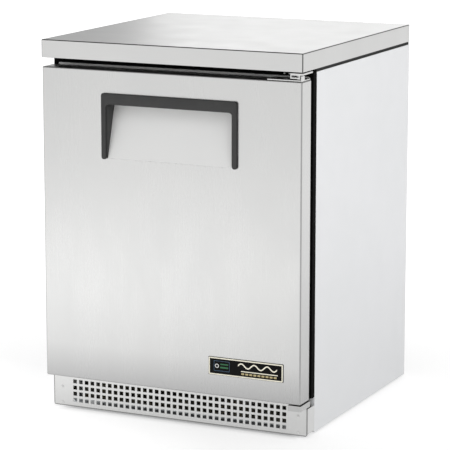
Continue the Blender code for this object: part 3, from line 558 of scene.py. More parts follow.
def arc(x, y, radius, start, end, steps=8):
    turns = [math.radians(start + (end - start) * i / steps) for i in range(steps + 1)]
    return [(x + radius * math.cos(t), y + radius * math.sin(t)) for t in turns]


def circle(x, y, radius, steps=32):
    return arc(x, y, radius, 0, 360 * (steps - 1) / steps, steps - 1)


def middle(node):
    """The middle of a CAD node's box."""
    return [(low + high) / 2 for low, high in zip(*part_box(node))]


def round_loop(x, y, radius, steps=6):
    """Corner-rounded loop, counter-clockwise, between two (low, high) pairs."""
    (left, right), (low, high) = (x[0] + radius, x[1] - radius), (y[0] + radius, y[1] - radius)
    corners = (right, high), (left, high), (left, low), (right, low)
    loop = []
    for quarter, (u, v) in enumerate(corners):
        loop += arc(u, v, radius, 90 * quarter, 90 * quarter + 90, steps)
    return loop


def add_line(curve, points, closed=True):
    spline = curve.splines.new("POLY")
    spline.points.add(len(points) - 1)
    for spot, point in zip(spline.points, points):
        spot.co = (*point, 1)
    spline.use_cyclic_u = closed


def from_curve(curve):
    """The mesh of a curve or a text."""
    helper = bpy.data.objects.new(curve.name, curve)
    bpy.context.scene.collection.objects.link(helper)
    mesh = bake(helper)
    bpy.data.objects.remove(helper)
    return mesh


def plate(name, loops, thickness, matrix, finish, soft=0, segments=2):
    """A flat plate: the first loop is its edge, the others are holes. matrix places its middle plane."""
    curve = bpy.data.curves.new(name, "CURVE")
    curve.dimensions = "2D"
    curve.fill_mode = "BOTH"
    curve.extrude = thickness / 2
    for points in loops:
        add_line(curve, [(u, v, 0) for u, v in points])
    mesh = from_curve(curve)
    mesh.transform(matrix)
    if soft:
        bm = bmesh.new()
        bm.from_mesh(mesh)
        bmesh.ops.dissolve_limit(bm, angle_limit=0.001, verts=bm.verts, edges=bm.edges)
        round_sharp(bm, soft, segments)
        bm.to_mesh(mesh)
        bm.free()
    return finished(name, mesh, finish)


def flat(back, x=0.0, z=0.0):
    """Places a plate's drawing, X across and Z up, at a distance behind the door's face."""
    return Matrix.Translation(place(x, back, z)) @ ALONG_Y


def sideways(x):
    """Places a plate's drawing, Y across and Z up, at an X."""
    return Matrix.Translation((x, 0, 0)) @ ALONG_X


def rod(name, points, radius, finish, closed=False, resolution=4):
    """A round wire or pipe through points."""
    curve = bpy.data.curves.new(name, "CURVE")
    curve.dimensions = "3D"
    curve.bevel_depth = radius
    curve.bevel_resolution = resolution
    curve.use_fill_caps = True
    add_line(curve, points, closed)
    return finished(name, from_curve(curve), finish, 60)


def lathe(name, profile, matrix, finish, steps=48, smooth=30):
    """A profile of (radius, height) points, from the top down its outer side, turned about local Z."""
    bm = bmesh.new()
    verts = [bm.verts.new((radius, 0, height)) for radius, height in profile]
    edges = [bm.edges.new(pair) for pair in zip(verts, verts[1:])]
    turn = {"cent": (0, 0, 0), "axis": (0, 0, 1), "angle": 2 * math.pi, "steps": steps}
    bmesh.ops.spin(bm, geom=verts + edges, use_merge=True, use_duplicate=False, **turn)
    bmesh.ops.remove_doubles(bm, verts=bm.verts, dist=1e-6)
    bmesh.ops.recalc_face_normals(bm, faces=bm.faces)
    return shaped(name, bm, finish, smooth, matrix)


def joined(name, pieces, finish, smooth=30):
    """Several shapes as one piece."""
    bm = bmesh.new()
    for piece in pieces:
        bm.from_mesh(piece.data)
        bpy.data.objects.remove(piece)
    return shaped(name, bm, finish, smooth)


def ring(bm, x, z, back, radius, steps):
    """A rounded rectangle of verts at a distance behind the door's face."""
    return [bm.verts.new(place(u, back, v)) for u, v in round_loop(x, z, radius, steps)]


def bridge(bm, rings):
    """Faces between each ring of verts and the next."""
    for first, second in zip(rings, rings[1:]):
        for i in range(len(first)):
            bm.faces.new((first[i - 1], first[i], second[i], second[i - 1]))


def loop_sweep(name, x, z, profile, finish, corner):
    """A closed profile of (inset, back) points swept round a rectangle in the X-Z plane."""
    bm = bmesh.new()
    rings = []
    for inset, back in profile:
        spans = (x[0] + inset, x[1] - inset), (z[0] + inset, z[1] - inset)
        rings.append(ring(bm, *spans, back, max(corner - inset, 0.0002), 4))
    bridge(bm, [*rings, rings[0]])
    bmesh.ops.recalc_face_normals(bm, faces=bm.faces)
    return shaped(name, bm, finish)


def screw_head(name, at, facing, radius, height, finish=STEEL_BRIGHT):
    """A pan-head screw's head with its cross recess. facing turns local +Z outwards."""
    dome = [(0, height), (radius * 0.45, height * 0.97), (radius * 0.8, height * 0.72)]
    dome += [(radius * 0.97, height * 0.32), (radius, 0.0), (0, 0.0)]
    head = lathe(name, dome, FACING_UP, finish, 24, 50)
    reach, wide, floor, top = radius * 0.55, radius * 0.13, height * 0.45, height * 1.5
    sides = (reach, wide), (wide, reach)
    cuts = [shaped("cut", cuboid((-x, -y, floor), (x, y, top)), finish) for x, y in sides]
    head = bored(head, *cuts)
    head.data.transform(Matrix.Translation(at) @ facing)
    return head


def screws(name, spots, facing, radius, height, body="cabinet"):
    """Numbered screw heads."""
    for i, at in enumerate(spots):
        settle(screw_head(f"{name}_{i}", at, facing, radius, height), body, "brushed_steel")


# ---- Worktop and shell ----

def make_worktop():
    """A folded steel top: rounded top edges and corners, and an apron all round."""
    top = folded_tray("worktop_shell", *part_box("worktop"), (0, 0, -1), WORKTOP_FOLD, STEEL_TOP)
    top = rebuilt(sheeted(top, SHEET, -1))
    true_faces(bevelled(top, 0.0003, 2, 60))
    settle(top, "cabinet", "brushed_steel", "worktop")


def make_shell():
    """The outer panels, the front frame, the black rail with its two screws, the seal and the cores."""
    repaint(["side_panel_left", "side_panel_right"], WHITE_PANEL, 0.0005)
    repaint(["face_frame"], SATIN_FRAME, 0.0003)
    repaint(["breaker_strip"], DEAD_BLACK, 0.0006)
    rail_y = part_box("breaker_strip")[0].y + SCREW_SINK
    screws("rail_screw", [(x, rail_y, RAIL_SCREW_Z) for x in RAIL_SCREW_XS], FACING_FRONT, 0.0025, 0.0014)
    repaint(["worktop_seal"], BLACK_RUBBER, 0.0008)
    repaint(["insulation_foam", "door_foam"], FOAM)
    repaint(["worktop_core"], DEAD_BLACK)


def make_kick_grille():
    """The perforated kick panel, with two screws at each end."""
    repaint(["kick_grille"], STEEL_KICK, 0.0002, 1)
    for side in ("left", "right"):
        node = f"grille_screw_{side}"
        spot = sum(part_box(node), Vector()) / 2
        for level, z, nodes in (("upper", spot.z, [node]), ("lower", KICK_SCREW_Z, [])):
            at = (spot.x, KICK_LOW.y - 0.0002, z)
            head = screw_head(f"{node}_{level}", at, FACING_FRONT, 0.0032, 0.001, STEEL_POCKET)
            settle(head, "cabinet", "brushed_steel", *nodes)


# ---- Door ----

def make_door_skin():
    """A folded steel tray with rounded front edges, cut out for the pull and bored for the pins."""
    low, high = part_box("door_skin")
    skin = folded_tray("door_panel", low, high, (0, 1, 0), DOOR_FOLD, STEEL_UPRIGHT)
    sheeted(skin, DOOR_SHEET, -1)
    pocket_low, pocket_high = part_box("handle_pocket")
    window_low = (pocket_low.x - 0.004, low.y - 0.01, pocket_low.z + 0.0002)
    window_high = (pocket_high.x + 0.004, low.y + 0.01, pocket_high.z + 0.0005)
    cutters = [shaped("window", cuboid(window_low, window_high), STEEL_UPRIGHT)]
    axis = sum(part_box("hinge_cartridge"), Vector()) / 2
    for radius, z in ((0.011, low.z), (0.0048, high.z)):
        bm = bmesh.new()
        bmesh.ops.create_cone(bm, cap_ends=True, segments=32, radius1=radius, radius2=radius, depth=0.02)
        at = Matrix.Translation((axis.x, axis.y, z))
        cutters.append(shaped("bore", bm, STEEL_UPRIGHT, matrix=at))
    settle(true_faces(bored(skin, *cutters)), "door", "brushed_steel", "door_skin")


def make_pull():
    """The moulded frame of the pull, with a textured face, rounded rims and closed cheeks."""
    low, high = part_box("handle_bezel")
    pocket_low, pocket_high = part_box("handle_pocket")
    repaint(["handle_pocket"], STEEL_POCKET, 0.0003)
    outer, inner = high.x, pocket_high.x + 0.0015
    corner, tip, fillet = 0.0055, 0.005, 0.0075
    right = arc(inner + tip, low.z + tip, tip, 180, 270) + arc(outer - tip, low.z + tip, tip, 270, 360)
    right += arc(outer - corner, high.z - corner, corner, 0, 90)
    arch = arc(inner - fillet, PULL_BAR_BOTTOM - fillet, fillet, 90, 0)
    left = [(-x, z) for x, z in reversed(right)]
    edge = [*right, *left, *[(-x, z) for x, z in reversed(arch)], *arch]
    thick, proud = 0.0047, 0.0003
    at = flat(-proud - thick / 2)
    pieces = [plate("pull_frame_face", [edge], thick, at, CHARCOAL_PLASTIC, 0.0011, 3)]
    front, rear, lap = DOOR_FACE_Y - 0.002, pocket_high.y - 0.0005, 0.0002
    cheek = [(front, pocket_low.z + 0.004), (DOOR_FACE_Y + 0.0012, pocket_low.z - 0.001)]
    cheek += [(rear, pocket_high.z - 0.024), (rear, pocket_high.z), (front, pocket_high.z)]
    wall = 0.0025
    for sign in (-1, 1):
        at = sideways(sign * (pocket_high.x - lap + wall / 2))
        pieces.append(plate(f"cheek_{sign}", [cheek], wall, at, CHARCOAL_PLASTIC, 0.0003, 1))
    settle(joined("pull_frame", pieces, CHARCOAL_PLASTIC), "door", "black_plastic", "handle_bezel")


def make_badge():
    """A framed plate: foil border, dark field and print."""
    low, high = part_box("badge_plate")
    back = low.y - DOOR_FACE_Y
    base_low = (low.x, low.y + 0.0006, low.z)
    base = rounded_box("badge_base", base_low, high, 0.0005, DEAD_BLACK)
    settle(base, "door", "black_plastic", "badge_plate")
    margin = 0.0006
    x, z = (low.x + margin, high.x - margin), (low.z + margin, high.z - margin)
    border = [(0.0, 0.001), (0.0002, 0.0002), (0.0006, 0.0), (0.0022, 0.0), (0.0026, 0.0002)]
    border = [(inset, back + sunk) for inset, sunk in [*border, (0.0028, 0.001)]]
    settle(loop_sweep("badge_border", x, z, border, CREAM_FOIL, 0.0018), "door", "black_plastic")
    inset = margin + 0.0026
    field_low = (low.x + inset, low.y + 0.0004, low.z + inset)
    field_high = (high.x - inset, low.y + 0.0009, high.z - inset)
    field = rounded_box("badge_field", field_low, field_high, 0.0002, BADGE_FIELD)
    settle(field, "door", "black_plastic")
    make_badge_print(low, high, flat(back + 0.00025))


def make_badge_print(low, high, at):
    """A small panel with a ring and two bars, a wave, a line and dashes, in shares u, v of the plate."""
    width, height = high.x - low.x, high.z - low.z

    def span(u, v):
        return [low.x + share * width for share in u], [low.z + share * height for share in v]

    def bar(u, v, radius, steps=3):
        return round_loop(*span(u, v), radius, steps)

    def mark(name, finish, *loops):
        settle(plate(f"badge_{name}", loops, 0.0003, at, finish), "door", "black_plastic")

    line = 0.0005
    (x0, x1), (z0, z1) = span((0.075, 0.285), (0.24, 0.8))
    outer = round_loop((x0, x1), (z0, z1), 0.0012, 3)
    hole = round_loop((x0 + line, x1 - line), (z0 + line, z1 - line), 0.0009, 3)
    mark("panel_outline", BLUE_PRINT, outer, hole)
    (x,), (z,) = span((0.115,), (0.52,))
    mark("ring", WHITE_PRINT, circle(x, z, 0.0046), circle(x, z, 0.003))
    for row, v in enumerate(((0.59, 0.66), (0.4, 0.49))):
        mark(f"panel_bar_{row}", GREEN_PRINT, bar((0.16, 0.268), v, 0.0008))
    (x0, x1), (z0, z1) = span((0.4, 0.92), (0.5, 0.82))
    swing, half, steps, turns = (z1 - z0) / 2 - 0.0016, 0.0013, 60, 6 * math.pi
    upper, lower = [], []
    for i in range(steps + 1):
        share = i / steps
        x, z = x0 + (x1 - x0) * share, (z0 + z1) / 2 + swing * math.sin(turns * share)
        slope = swing * turns / (x1 - x0) * math.cos(turns * share)
        thick = half * math.sqrt(1 + slope**2)
        upper.append((x, z + thick))
        lower.append((x, z - thick))
    mark("wave", CREAM_FOIL, [*lower, *reversed(upper)])
    mark("underline", CREAM_FOIL, bar((0.44, 0.93), (0.335, 0.385), 0.0006))
    for i in range(9):
        u = 0.445 + 0.054 * i
        mark(f"tick_{i}", GOLD_PRINT, bar((u, u + 0.038), (0.17, 0.27), 0.0004, 2))


def make_door_liner():
    """The moulded inner panel: a flat rim that carries the gasket and a raised, softly dished middle."""
    low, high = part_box("door_liner")
    centre = (low + high) / 2
    rise, dish = high.y - low.y - LINER_SHEET, 0.0003
    half = (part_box("door_foam")[1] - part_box("door_foam")[0]) / 2
    back = low.y - DOOR_FACE_Y
    steps = [(0.0, 0.0), (0.055, 0.0), (0.0575, 0.001), (0.061, 0.0085), (0.0635, rise), (0.075, rise)]
    steps += [(0.078, rise - dish), (0.15, rise - dish)]
    bm = bmesh.new()
    rings = []
    for inset, depth in steps:
        x = (centre.x - half.x + inset, centre.x + half.x - inset)
        z = (centre.z - half.z + inset, centre.z + half.z - inset)
        radius = max(0.026 - inset * 0.1, 0.006) if inset else 0.003
        rings.append(ring(bm, x, z, back + depth, radius, 8))
    bridge(bm, rings)
    bm.faces.new(rings[-1])
    bmesh.ops.recalc_face_normals(bm, faces=bm.faces)
    liner = shaped("door_inner_panel", bm, WHITE_MOULDING, 35)
    liner = rebuilt(sheeted(liner, LINER_SHEET, 1), 35)
    shift = low.y - min(v.co.y for v in liner.data.vertices)
    liner.data.transform(Matrix.Translation((0, shift, 0)))
    settle(liner, "door", "white_enamel", "door_liner")


def make_door_gasket():
    """A magnetic gasket: a dart base, folded bellows and a flat magnet pocket that meets the cabinet."""
    low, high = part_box("door_gasket")
    front, rear = low.y - DOOR_FACE_Y, high.y - DOOR_FACE_Y
    width, soft = 0.018, 0.0008
    side = [(0.0045, front), (0.004, front + 0.003)]
    folds = ((0.0018, 0.22), (0.0042, 0.34), (0.001, 0.46), (0.0042, 0.58), (0.0006, 0.68), (0.0, 0.74))
    side += [(inset, front + share * (rear - front)) for inset, share in folds]
    side += [(0.0, rear - soft), (soft, rear)]
    outline = [*side, *[(width - inset, back) for inset, back in reversed(side)]]
    gasket = loop_sweep("door_seal", (low.x, high.x), (low.z, high.z), outline, BLACK_RUBBER, 0.003)
    settle(gasket, "door", "black_rubber", "door_gasket")


def make_hinges():
    """The brackets, the cartridge, and the door's hinge plate with its two screws."""
    repaint(["bottom_hinge_bracket"], STEEL_BRACKET, 0.0005)
    repaint(["top_hinge_bracket", "door_hinge_plate"], STEEL_BRIGHT, 0.0005)
    repaint(["hinge_cartridge"], BLACK_PLASTIC, 0.0003)
    low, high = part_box("door_hinge_plate")
    corners = [v.co for v in frame["nodes"]["door_hinge_plate"].data.vertices]
    z = max(spot.z for spot in corners if spot.x < low.x + 0.01) - 0.0002
    spots = [(low.x + inset, (low.y + high.y) / 2, z) for inset in (0.01, 0.034)]
    screws("hinge_plate_screw", spots, FACING_UP, 0.0036, 0.0013, "door")


# ---- Food cavity ----

def make_inner_liner():
    """The aluminium cavity, folded from sheet with coved corners and a raised step at the rear."""
    low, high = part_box("inner_liner")
    front, rear = low.y, high.y - SHEET
    floor_z, roof_z = low.z + SHEET, high.z - SHEET
    step_y = DOOR_FACE_Y + CAVITY_STEP_BACK
    outline = [(front, floor_z), (step_y, floor_z), (step_y, CAVITY_STEP_Z), (rear, CAVITY_STEP_Z)]
    outline += [(rear, roof_z), (front, roof_z)]
    half = high.x - SHEET
    bm = bmesh.new()
    left, right = [[bm.verts.new((x, y, z)) for y, z in outline] for x in (-half, half)]
    bm.faces.new(left)
    bm.faces.new(reversed(right))
    for i in range(len(outline) - 1):
        bm.faces.new((left[i], right[i], right[i + 1], left[i + 1]))
    bmesh.ops.recalc_face_normals(bm, faces=bm.faces)
    bm.normal_update()
    round_folds(bm, *CAVITY_FOLD)
    liner = sheeted(shaped("cavity_liner", bm, ALUMINIUM, 35), SHEET, 1)
    settle(rebuilt(liner, 35), "cabinet", "aluminium", "inner_liner")


def make_cavity_trim():
    """A white bead that covers the joint between the front frame and the cavity liner."""
    low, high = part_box("inner_liner")
    reach = 0.0044
    face, rear = CABINET_BACK, CABINET_BACK + 0.003
    outline = [(0.0, face), (0.0004, face - 0.0008), (0.005, face - 0.001), (0.0058, face - 0.0006)]
    outline += [(0.006, rear), (0.0048, rear), (0.0044, face)]
    x, z = (low.x - reach, high.x + reach), (low.z - reach, high.z + reach)
    bead = loop_sweep("cavity_trim", x, z, outline, WHITE_MOULDING, 0.01)
    settle(bead, "cabinet", "white_enamel")


def make_pilaster(node):
    """A slotted channel strip on the cavity wall: its face, two flanges and two webs."""
    low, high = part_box(node)
    middle_y = middle(node)[1]
    wall_x, inward = (low.x, 1) if low.x < 0 else (high.x, -1)
    pitch, slot_height, slot_half = 0.0125, 0.006, 0.0035
    slots = []
    for i in range(int((high.z - low.z - 0.02) / pitch)):
        z = low.z + 0.014 + pitch * i
        y = (middle_y - slot_half, middle_y + slot_half)
        slots.append(round_loop(y, (z, z + slot_height), 0.0012, 2))
    edge = round_loop((low.y + 0.003, high.y - 0.003), (low.z, high.z), 0.001, 2)
    skin, depth = 0.001, 0.004
    at = sideways(wall_x + inward * (depth - skin / 2))
    pieces = [plate("strip_face", [edge, *slots], skin, at, ALUMINIUM)]
    for name, start, end, rise in (("flange", 0.0, 0.0032, 0.001), ("web", 0.0025, 0.0035, 0.0039)):
        x = sorted((wall_x, wall_x + inward * rise))
        for y in ((low.y + start, low.y + end), (high.y - end, high.y - start)):
            pieces.append(rounded_box(name, (x[0], y[0], low.z), (x[1], y[1], high.z), 0.0002, ALUMINIUM, 1))
    settle(joined(f"{node}_strip", pieces, ALUMINIUM), "cabinet", "aluminium", node)


def make_shelf(level):
    """A coated wire shelf: a rounded rim, close wires front to rear and cross bars beneath."""
    node = f"wire_shelf_{level}"
    low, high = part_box(node)
    rim_radius = 0.003
    z = high.z - rim_radius
    x0, x1 = low.x + rim_radius, high.x - rim_radius
    y0, y1 = low.y + rim_radius, high.y - rim_radius
    rim = [(x, y, z) for x, y in round_loop((x0, x1), (y0, y1), 0.012, 6)]
    pieces = [rod("rim", rim, rim_radius, COATED_WIRE, True)]
    wires = 27
    for i in range(wires):
        x = x0 + (x1 - x0) * (i + 1) / (wires + 1)
        pieces.append(rod("wire", [(x, y, z + 0.001) for y in (y0, y1)], 0.0017, COATED_WIRE, resolution=2))
    for share in (0.22, 0.5, 0.78):
        y = y0 + (y1 - y0) * share
        pieces.append(rod("bar", [(x, y, z - 0.003) for x in (x0, x1)], 0.0025, COATED_WIRE, resolution=3))
    settle(joined(f"{node}_grid", pieces, COATED_WIRE, 60), "cabinet", "coated_wire", node)


def make_evaporator_cover():
    """The white cover: rounded sheet with a fan hole, a return louvre, a dial and its screws."""
    low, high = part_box("evaporator_cover")
    front = low.y - DOOR_FACE_Y
    fan_z = middle("evaporator_fan_blade")[2]
    knob_x, _, knob_z = middle("control_knob")
    loops = [round_loop((low.x, high.x), (low.z, high.z), 0.006, 6)]
    loops += [circle(0, fan_z, 0.0515, 64), circle(knob_x, knob_z, 0.0045, 20)]
    for row in range(5):
        z = 0.37 + 0.018 * row
        for x in (-0.17, -0.055, 0.06):
            loops.append(round_loop((x, x + 0.11), (z, z + 0.008), 0.0039, 5))
    face = plate("cover_face", loops, SHEET, flat(front + SHEET / 2), WHITE_MOULDING, 0.0003, 1)
    flange_low = (low.x + 0.004, low.y + SHEET / 2, low.z)
    flange_high = (high.x - 0.004, high.y, low.z + SHEET)
    flange = rounded_box("cover_flange", flange_low, flange_high, 0.0004, WHITE_MOULDING)
    cover = joined("evaporator_cover_panel", [face, flange], WHITE_MOULDING)
    settle(cover, "cabinet", "white_enamel", "evaporator_cover")
    make_fan_guard(fan_z, front - 0.003)
    corners = [(sign * (high.x - 0.014), z) for sign in (-1, 1) for z in (low.z + 0.03, high.z - 0.03)]
    spots = [place(x, front - SCREW_SINK, z) for x, z in corners]
    screws("cover_screw", spots, FACING_FRONT, 0.0038, 0.0016)
    make_dial(knob_x, knob_z, front)


def make_fan_guard(fan_z, back):
    """Wire rings in front of the evaporator fan, on four spokes."""
    wires = []
    for radius in (0.012, 0.022, 0.032, 0.042, 0.053):
        loop = [place(x, back, z) for x, z in circle(0, fan_z, radius, 48)]
        wires.append(rod("guard_ring", loop, 0.0011, COATED_WIRE, True, 2))
    for i in range(4):
        turn = math.radians(45 + 90 * i)
        ends = [(radius * math.cos(turn), radius * math.sin(turn)) for radius in (0.01, 0.057)]
        ends = [place(x, back + 0.0018, fan_z + z) for x, z in ends]
        wires.append(rod("guard_spoke", ends, 0.0012, COATED_WIRE, resolution=2))
    settle(joined("evaporator_fan_guard", wires, COATED_WIRE, 60), "cabinet", "coated_wire")


def make_dial(x, z, front):
    """Numbers 1 to 9 round the temperature knob."""
    last, radius = 9, 0.0235
    for number in range(1, last + 1):
        turn = math.radians(225 - 270 * (number - 1) / (last - 1))
        name = f"dial_number_{number}"
        text = bpy.data.curves.new(name, "FONT")
        text.body = str(number)
        text.size = 0.0065
        text.extrude = 0.0001
        text.align_x = "CENTER"
        text.align_y = "CENTER"
        mesh = from_curve(text)
        mesh.transform(flat(front - 0.00015, x + radius * math.cos(turn), z + radius * math.sin(turn)))
        settle(finished(name, mesh, GREY_PRINT), "cabinet", "black_plastic")


def make_knob():
    """A fluted knob with a raised pointer; it turns on the front-to-back axis."""
    low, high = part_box("control_knob")
    x, z = middle("control_knob")[0], middle("thermostat")[2]
    radius, flutes, flute_depth, pointer_rise = 0.015, 18, 0.0009, 0.0025
    loop = []
    for i in range(flutes * 8):
        turn = 2 * math.pi * i / (flutes * 8)
        reach = radius - flute_depth * (0.5 + 0.5 * math.cos(flutes * turn)) ** 2
        loop.append((reach * math.cos(turn), reach * math.sin(turn)))
    depth = high.y - low.y - pointer_rise
    at = Matrix.Translation((x, high.y - depth / 2, z)) @ ALONG_Y
    skirt = plate("knob_skirt", [loop], depth, at, BLACK_PLASTIC, 0.0006, 2)
    pointer_low, pointer_high = (x - 0.0013, low.y, z + 0.001), (x + 0.0013, low.y + 0.004, z + 0.013)
    pointer = rounded_box("knob_pointer", pointer_low, pointer_high, 0.0005, WHITE_PRINT)
    settle(skirt, "knob", "black_plastic", "control_knob")
    settle(pointer, "knob", "black_plastic")


# ---- Cooling unit, base and rear ----

def make_blade(turn, hub, radius, at, finish):
    """A fan blade whose pitch flattens and whose tip is rounded, turned to its place on the hub."""
    bm = bmesh.new()
    rows, columns, squash = 7, 7, 0.62
    root = hub * 0.9
    grid = []
    for row in range(rows):
        out = row / (rows - 1)
        span = root + (radius - root) * out
        pitch = math.radians(38 - 16 * out)
        chord = radius * (0.42 + 0.2 * math.sin(math.pi * min(out * 1.15, 1)))
        line = []
        for column in range(columns):
            side = column / (columns - 1) - 0.5
            along, camber = chord * side, 0.05 * chord * (1 - 4 * side * side)
            sweep = (along * math.cos(pitch) + camber * math.sin(pitch)) / max(span, 0.001)
            rise = -along * math.sin(pitch) + camber * math.cos(pitch)
            reach = span * (1 - (abs(side) * 2) ** 6 * 0.12 * out)
            line.append(bm.verts.new((reach * math.cos(sweep), reach * math.sin(sweep), rise * squash)))
        grid.append(line)
    for inner, outer in zip(grid, grid[1:]):
        for i in range(columns - 1):
            bm.faces.new((inner[i], inner[i + 1], outer[i + 1], outer[i]))
    bmesh.ops.rotate(bm, verts=bm.verts, matrix=Euler((0, 0, turn)).to_matrix())
    return rebuilt(sheeted(shaped("vane", bm, finish, matrix=at), 0.0012, 0))


def make_fan(body, finish, slot, blades=5):
    """A hub with twisted, rounded blades."""
    node = f"{body}_blade"
    low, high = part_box(node)
    x, _, z = next(joint["pos_m"] for joint in frame["joints"] if joint["child"] == body)
    radius = min(high.x - x, x - low.x, high.z - z) * 0.99
    hub = 0.018 if radius > 0.06 else 0.013
    half, bore = 0.008, 0.0034
    at = Matrix.Translation((x, (low.y + high.y) / 2, z)) @ ALONG_Y
    profile = [(0, half + 0.001), (hub * 0.75, half + 0.001), (hub - 0.001, half), (hub, half - 0.0015)]
    profile += [(hub, -half), (bore, -half), (bore, 0.002), (0, 0.002)]
    pieces = [lathe("hub", profile, at, finish, 40)]
    pieces += [make_blade(2 * math.pi * i / blades, hub, radius, at, finish) for i in range(blades)]
    settle(joined(f"{body}_rotor", pieces, finish, 40), body, slot, node)


def make_machine_parts():
    """The base, pans, motors, coils, compressor, pipes, shelf clips and fans."""
    repaint(["base_pan"], GALVANISED, 0.0006)
    repaint(["condensate_pan"], BLACK_PLASTIC, 0.0008)
    repaint(["drain_tube", "thermostat"], BLACK_PLASTIC, 0.0004)
    repaint(["evaporator_fan_motor", "condenser_fan_motor"], BLACK_PAINT, 0.0008)
    repaint(["evaporator_coil"], ALUMINIUM)
    repaint(["condenser_coil"], DEAD_BLACK)
    repaint(["compressor"], BLACK_PAINT, 0.0012, 3, 20)
    repaint(["discharge_line", "suction_line", "filter_drier"], COPPER)
    clips = [name for name in frame["nodes"] if name.startswith("shelf_clip_")]
    repaint(clips, GALVANISED, 0.0003)
    make_fan("condenser_fan", ALUMINIUM, "aluminium")
    make_fan("evaporator_fan", BLACK_PLASTIC, "black_plastic")


def make_foot(corner):
    """A levelling foot: a domed pad, a collar for the spanner and a threaded stud."""
    node = f"levelling_foot_{corner}"
    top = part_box(node)[1].z
    crest, valley, pitch = 0.0049, 0.0043, 0.0015
    profile = [(0, top), (0.0042, top)]
    z = top - 0.0005
    while z > 0.015:
        profile += [(crest, z), (valley, z - pitch / 2)]
        z -= pitch
    profile += [(crest, 0.013), (crest, 0.0125), (0.008, 0.0123), (0.015, 0.01), (0.0176, 0.008)]
    profile += [(0.018, 0.007), (0.018, 0.0012), (0.0168, 0.0), (0.0, 0.0)]
    x, y, _ = middle(node)
    at = Matrix.Translation((x, y, 0))
    foot = lathe(f"{node}_stud", profile, at, GALVANISED, 40, 35)
    settle(foot, f"foot_{corner}", "galvanised_steel", node)


def make_rear_panel():
    """The rear sheet, with two pressed ribs and nine sunk screws."""
    low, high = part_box("rear_panel")
    front = low.y - DOOR_FACE_Y
    face = front + REAR_SHEET
    edge = round_loop((low.x, high.x), (low.z, high.z), 0.002, 3)
    sheet = plate("rear_sheet", [edge], REAR_SHEET, flat(front + REAR_SHEET / 2), GALVANISED, 0.0003, 1)
    settle(sheet, "cabinet", "galvanised_steel", "rear_panel")
    profile = [(0.0, face), (0.0025, face + 0.0006), (0.0065, face + 0.0006), (0.009, face)]
    z = (low.z + 0.04, high.z - 0.03)
    ribs = [loop_sweep("rib", x, z, profile, GALVANISED, 0.02) for x in ((-0.27, -0.015), (0.015, 0.27))]
    settle(joined("rear_sheet_ribs", ribs, GALVANISED), "cabinet", "galvanised_steel")
    heights = low.z + 0.012, (low.z + high.z) / 2, high.z - 0.012
    spots = [place(x, face - 0.0003, z) for x in (-REAR_SCREW_X, 0.0, REAR_SCREW_X) for z in heights]
    screws("rear_screw", spots, FACING_REAR, 0.0036, 0.0009)


def make_service_grille():
    """The slotted service grille, with pressed hoods and a screw at each corner."""
    repaint(["rear_service_grille"], GALVANISED, 0.0002, 1)
    low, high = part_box("rear_service_grille")
    face = high.y
    hoods = []
    for row in range(10):
        z = 0.06 + 0.0175 * row
        profile = [(face, z + 0.0115), (face + 0.0042, z + 0.0055), (face + 0.0042, z + 0.004)]
        profile += [(face + 0.0034, z + 0.004), (face + 0.0032, z + 0.005), (face, z + 0.01)]
        for x0, x1 in ((-0.275, -0.02), (0.02, 0.2)):
            hoods.append(plate("hood", [profile], x1 - x0, sideways((x0 + x1) / 2), GALVANISED, 0.0002, 1))
    settle(joined("rear_grille_hoods", hoods, GALVANISED), "cabinet", "galvanised_steel")
    heights = low.z + 0.012, high.z - 0.012
    spots = [(x, face - SCREW_SINK, z) for x in (-REAR_SCREW_X, REAR_SCREW_X) for z in heights]
    screws("service_screw", spots, FACING_REAR, 0.0042, 0.0022)


def make_cord_gland():
    """A ribbed, tapering cord gland with a flange either side of the sheet."""
    x, _, z = middle("cord_gland")
    at = Matrix.Translation((x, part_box("cord_gland")[0].y + 0.004, z)) @ FACING_REAR
    profile = [(0.004, 0.015), (0.0062, 0.0149), (0.0074, 0.014)]
    for i in range(4):
        z = 0.0132 - 0.0012 * i
        profile += [(0.008 + 0.0005 * i, z), (0.0074 + 0.0006 * i, z - 0.0006)]
    profile += [(0.01, 0.0082), (0.0146, 0.008), (0.015, 0.0076), (0.015, 0.0044), (0.0146, 0.004)]
    profile += [(0.01, 0.004), (0.01, -0.004), (0.004, -0.004), (0.004, 0.015)]
    gland = lathe("cord_gland_body", profile, at, BLACK_PLASTIC)
    settle(gland, "cabinet", "black_plastic", "cord_gland")


# ---- Floor, light and camera ----

def make_floor():
    bm = bmesh.new()
    bmesh.ops.create_grid(bm, x_segments=8, y_segments=8, size=30.0)
    floor = shaped("floor", bm, pale_floor())
    floor.location.z = -0.0005


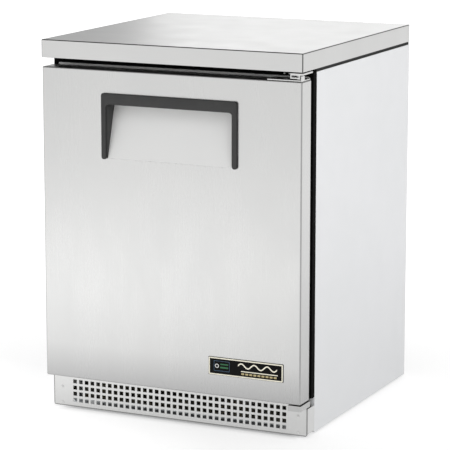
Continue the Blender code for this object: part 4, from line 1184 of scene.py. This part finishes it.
def make_world():
    """Bright walls all round, with a dimmer ceiling and a dimmer patch behind the camera."""
    world = bpy.data.worlds.new("studio")
    world.use_nodes = True
    nodes = Nodes(world.node_tree)
    direction = nodes.coordinates("Generated")

    def fade(axis, low, high, span):
        toward = nodes.vector("DOT_PRODUCT", direction, axis)["Value"]
        return nodes.ramp(toward, low, high, *span, interpolation_type="SMOOTHSTEP")

    ceiling = fade((0, 0, 1), WALL_GLOW, CEILING_GLOW, CEILING_SPAN)
    patch = fade(CAMERA_SIDE, 1.0, PATCH_SHARE, PATCH_SPAN)
    background = world.node_tree.nodes["Background"].inputs
    nodes.feed(background["Strength"], nodes.calc("MULTIPLY", ceiling, patch))
    nodes.feed(background["Color"], (1.0, 1.0, 1.0, 1))
    bpy.context.scene.world = world


def soft_box(name, at, target, size, radiance):
    """A rectangular light of a given radiance that the camera doesn't see."""
    lamp = bpy.data.lights.new(name, "AREA")
    lamp.shape = "RECTANGLE"
    lamp.size, lamp.size_y = size
    lamp.energy = radiance * math.pi * size[0] * size[1]
    obj = bpy.data.objects.new(name, lamp)
    obj.location = at
    obj.rotation_mode = "QUATERNION"
    obj.rotation_quaternion = (Vector(target) - Vector(at)).to_track_quat("-Z", "Y")
    obj.visible_camera = False
    bpy.context.scene.collection.objects.link(obj)


def make_camera():
    """A long lens from the front right, a little above the worktop."""
    data = bpy.data.cameras.new("camera")
    data.sensor_width = 36.0
    data.lens = CAMERA_LENS
    data.clip_end = 200.0
    camera = bpy.data.objects.new("camera", data)
    camera.location = CAMERA_AT
    camera.rotation_euler = (math.radians(90 - CAMERA_TILT), 0, math.radians(CAMERA_TURN))
    bpy.context.scene.collection.objects.link(camera)
    bpy.context.scene.camera = camera


CORNERS = ("front_left", "front_right", "rear_left", "rear_right")

make_camera()
make_floor()
make_world()
for soft_box_facts in SOFT_BOXES:
    soft_box(*soft_box_facts)
bpy.context.scene.view_settings.view_transform = "Standard"

make_worktop()
make_shell()
make_kick_grille()
make_door_skin()
make_pull()
make_badge()
make_door_liner()
make_door_gasket()
make_hinges()
make_inner_liner()
make_cavity_trim()
for corner_name in CORNERS:
    make_pilaster(f"shelf_pilaster_{corner_name}")
for shelf_level in ("lower", "upper"):
    make_shelf(shelf_level)
make_evaporator_cover()
make_knob()
make_machine_parts()
for corner_name in CORNERS:
    make_foot(corner_name)
make_rear_panel()
make_service_grille()
make_cord_gland()
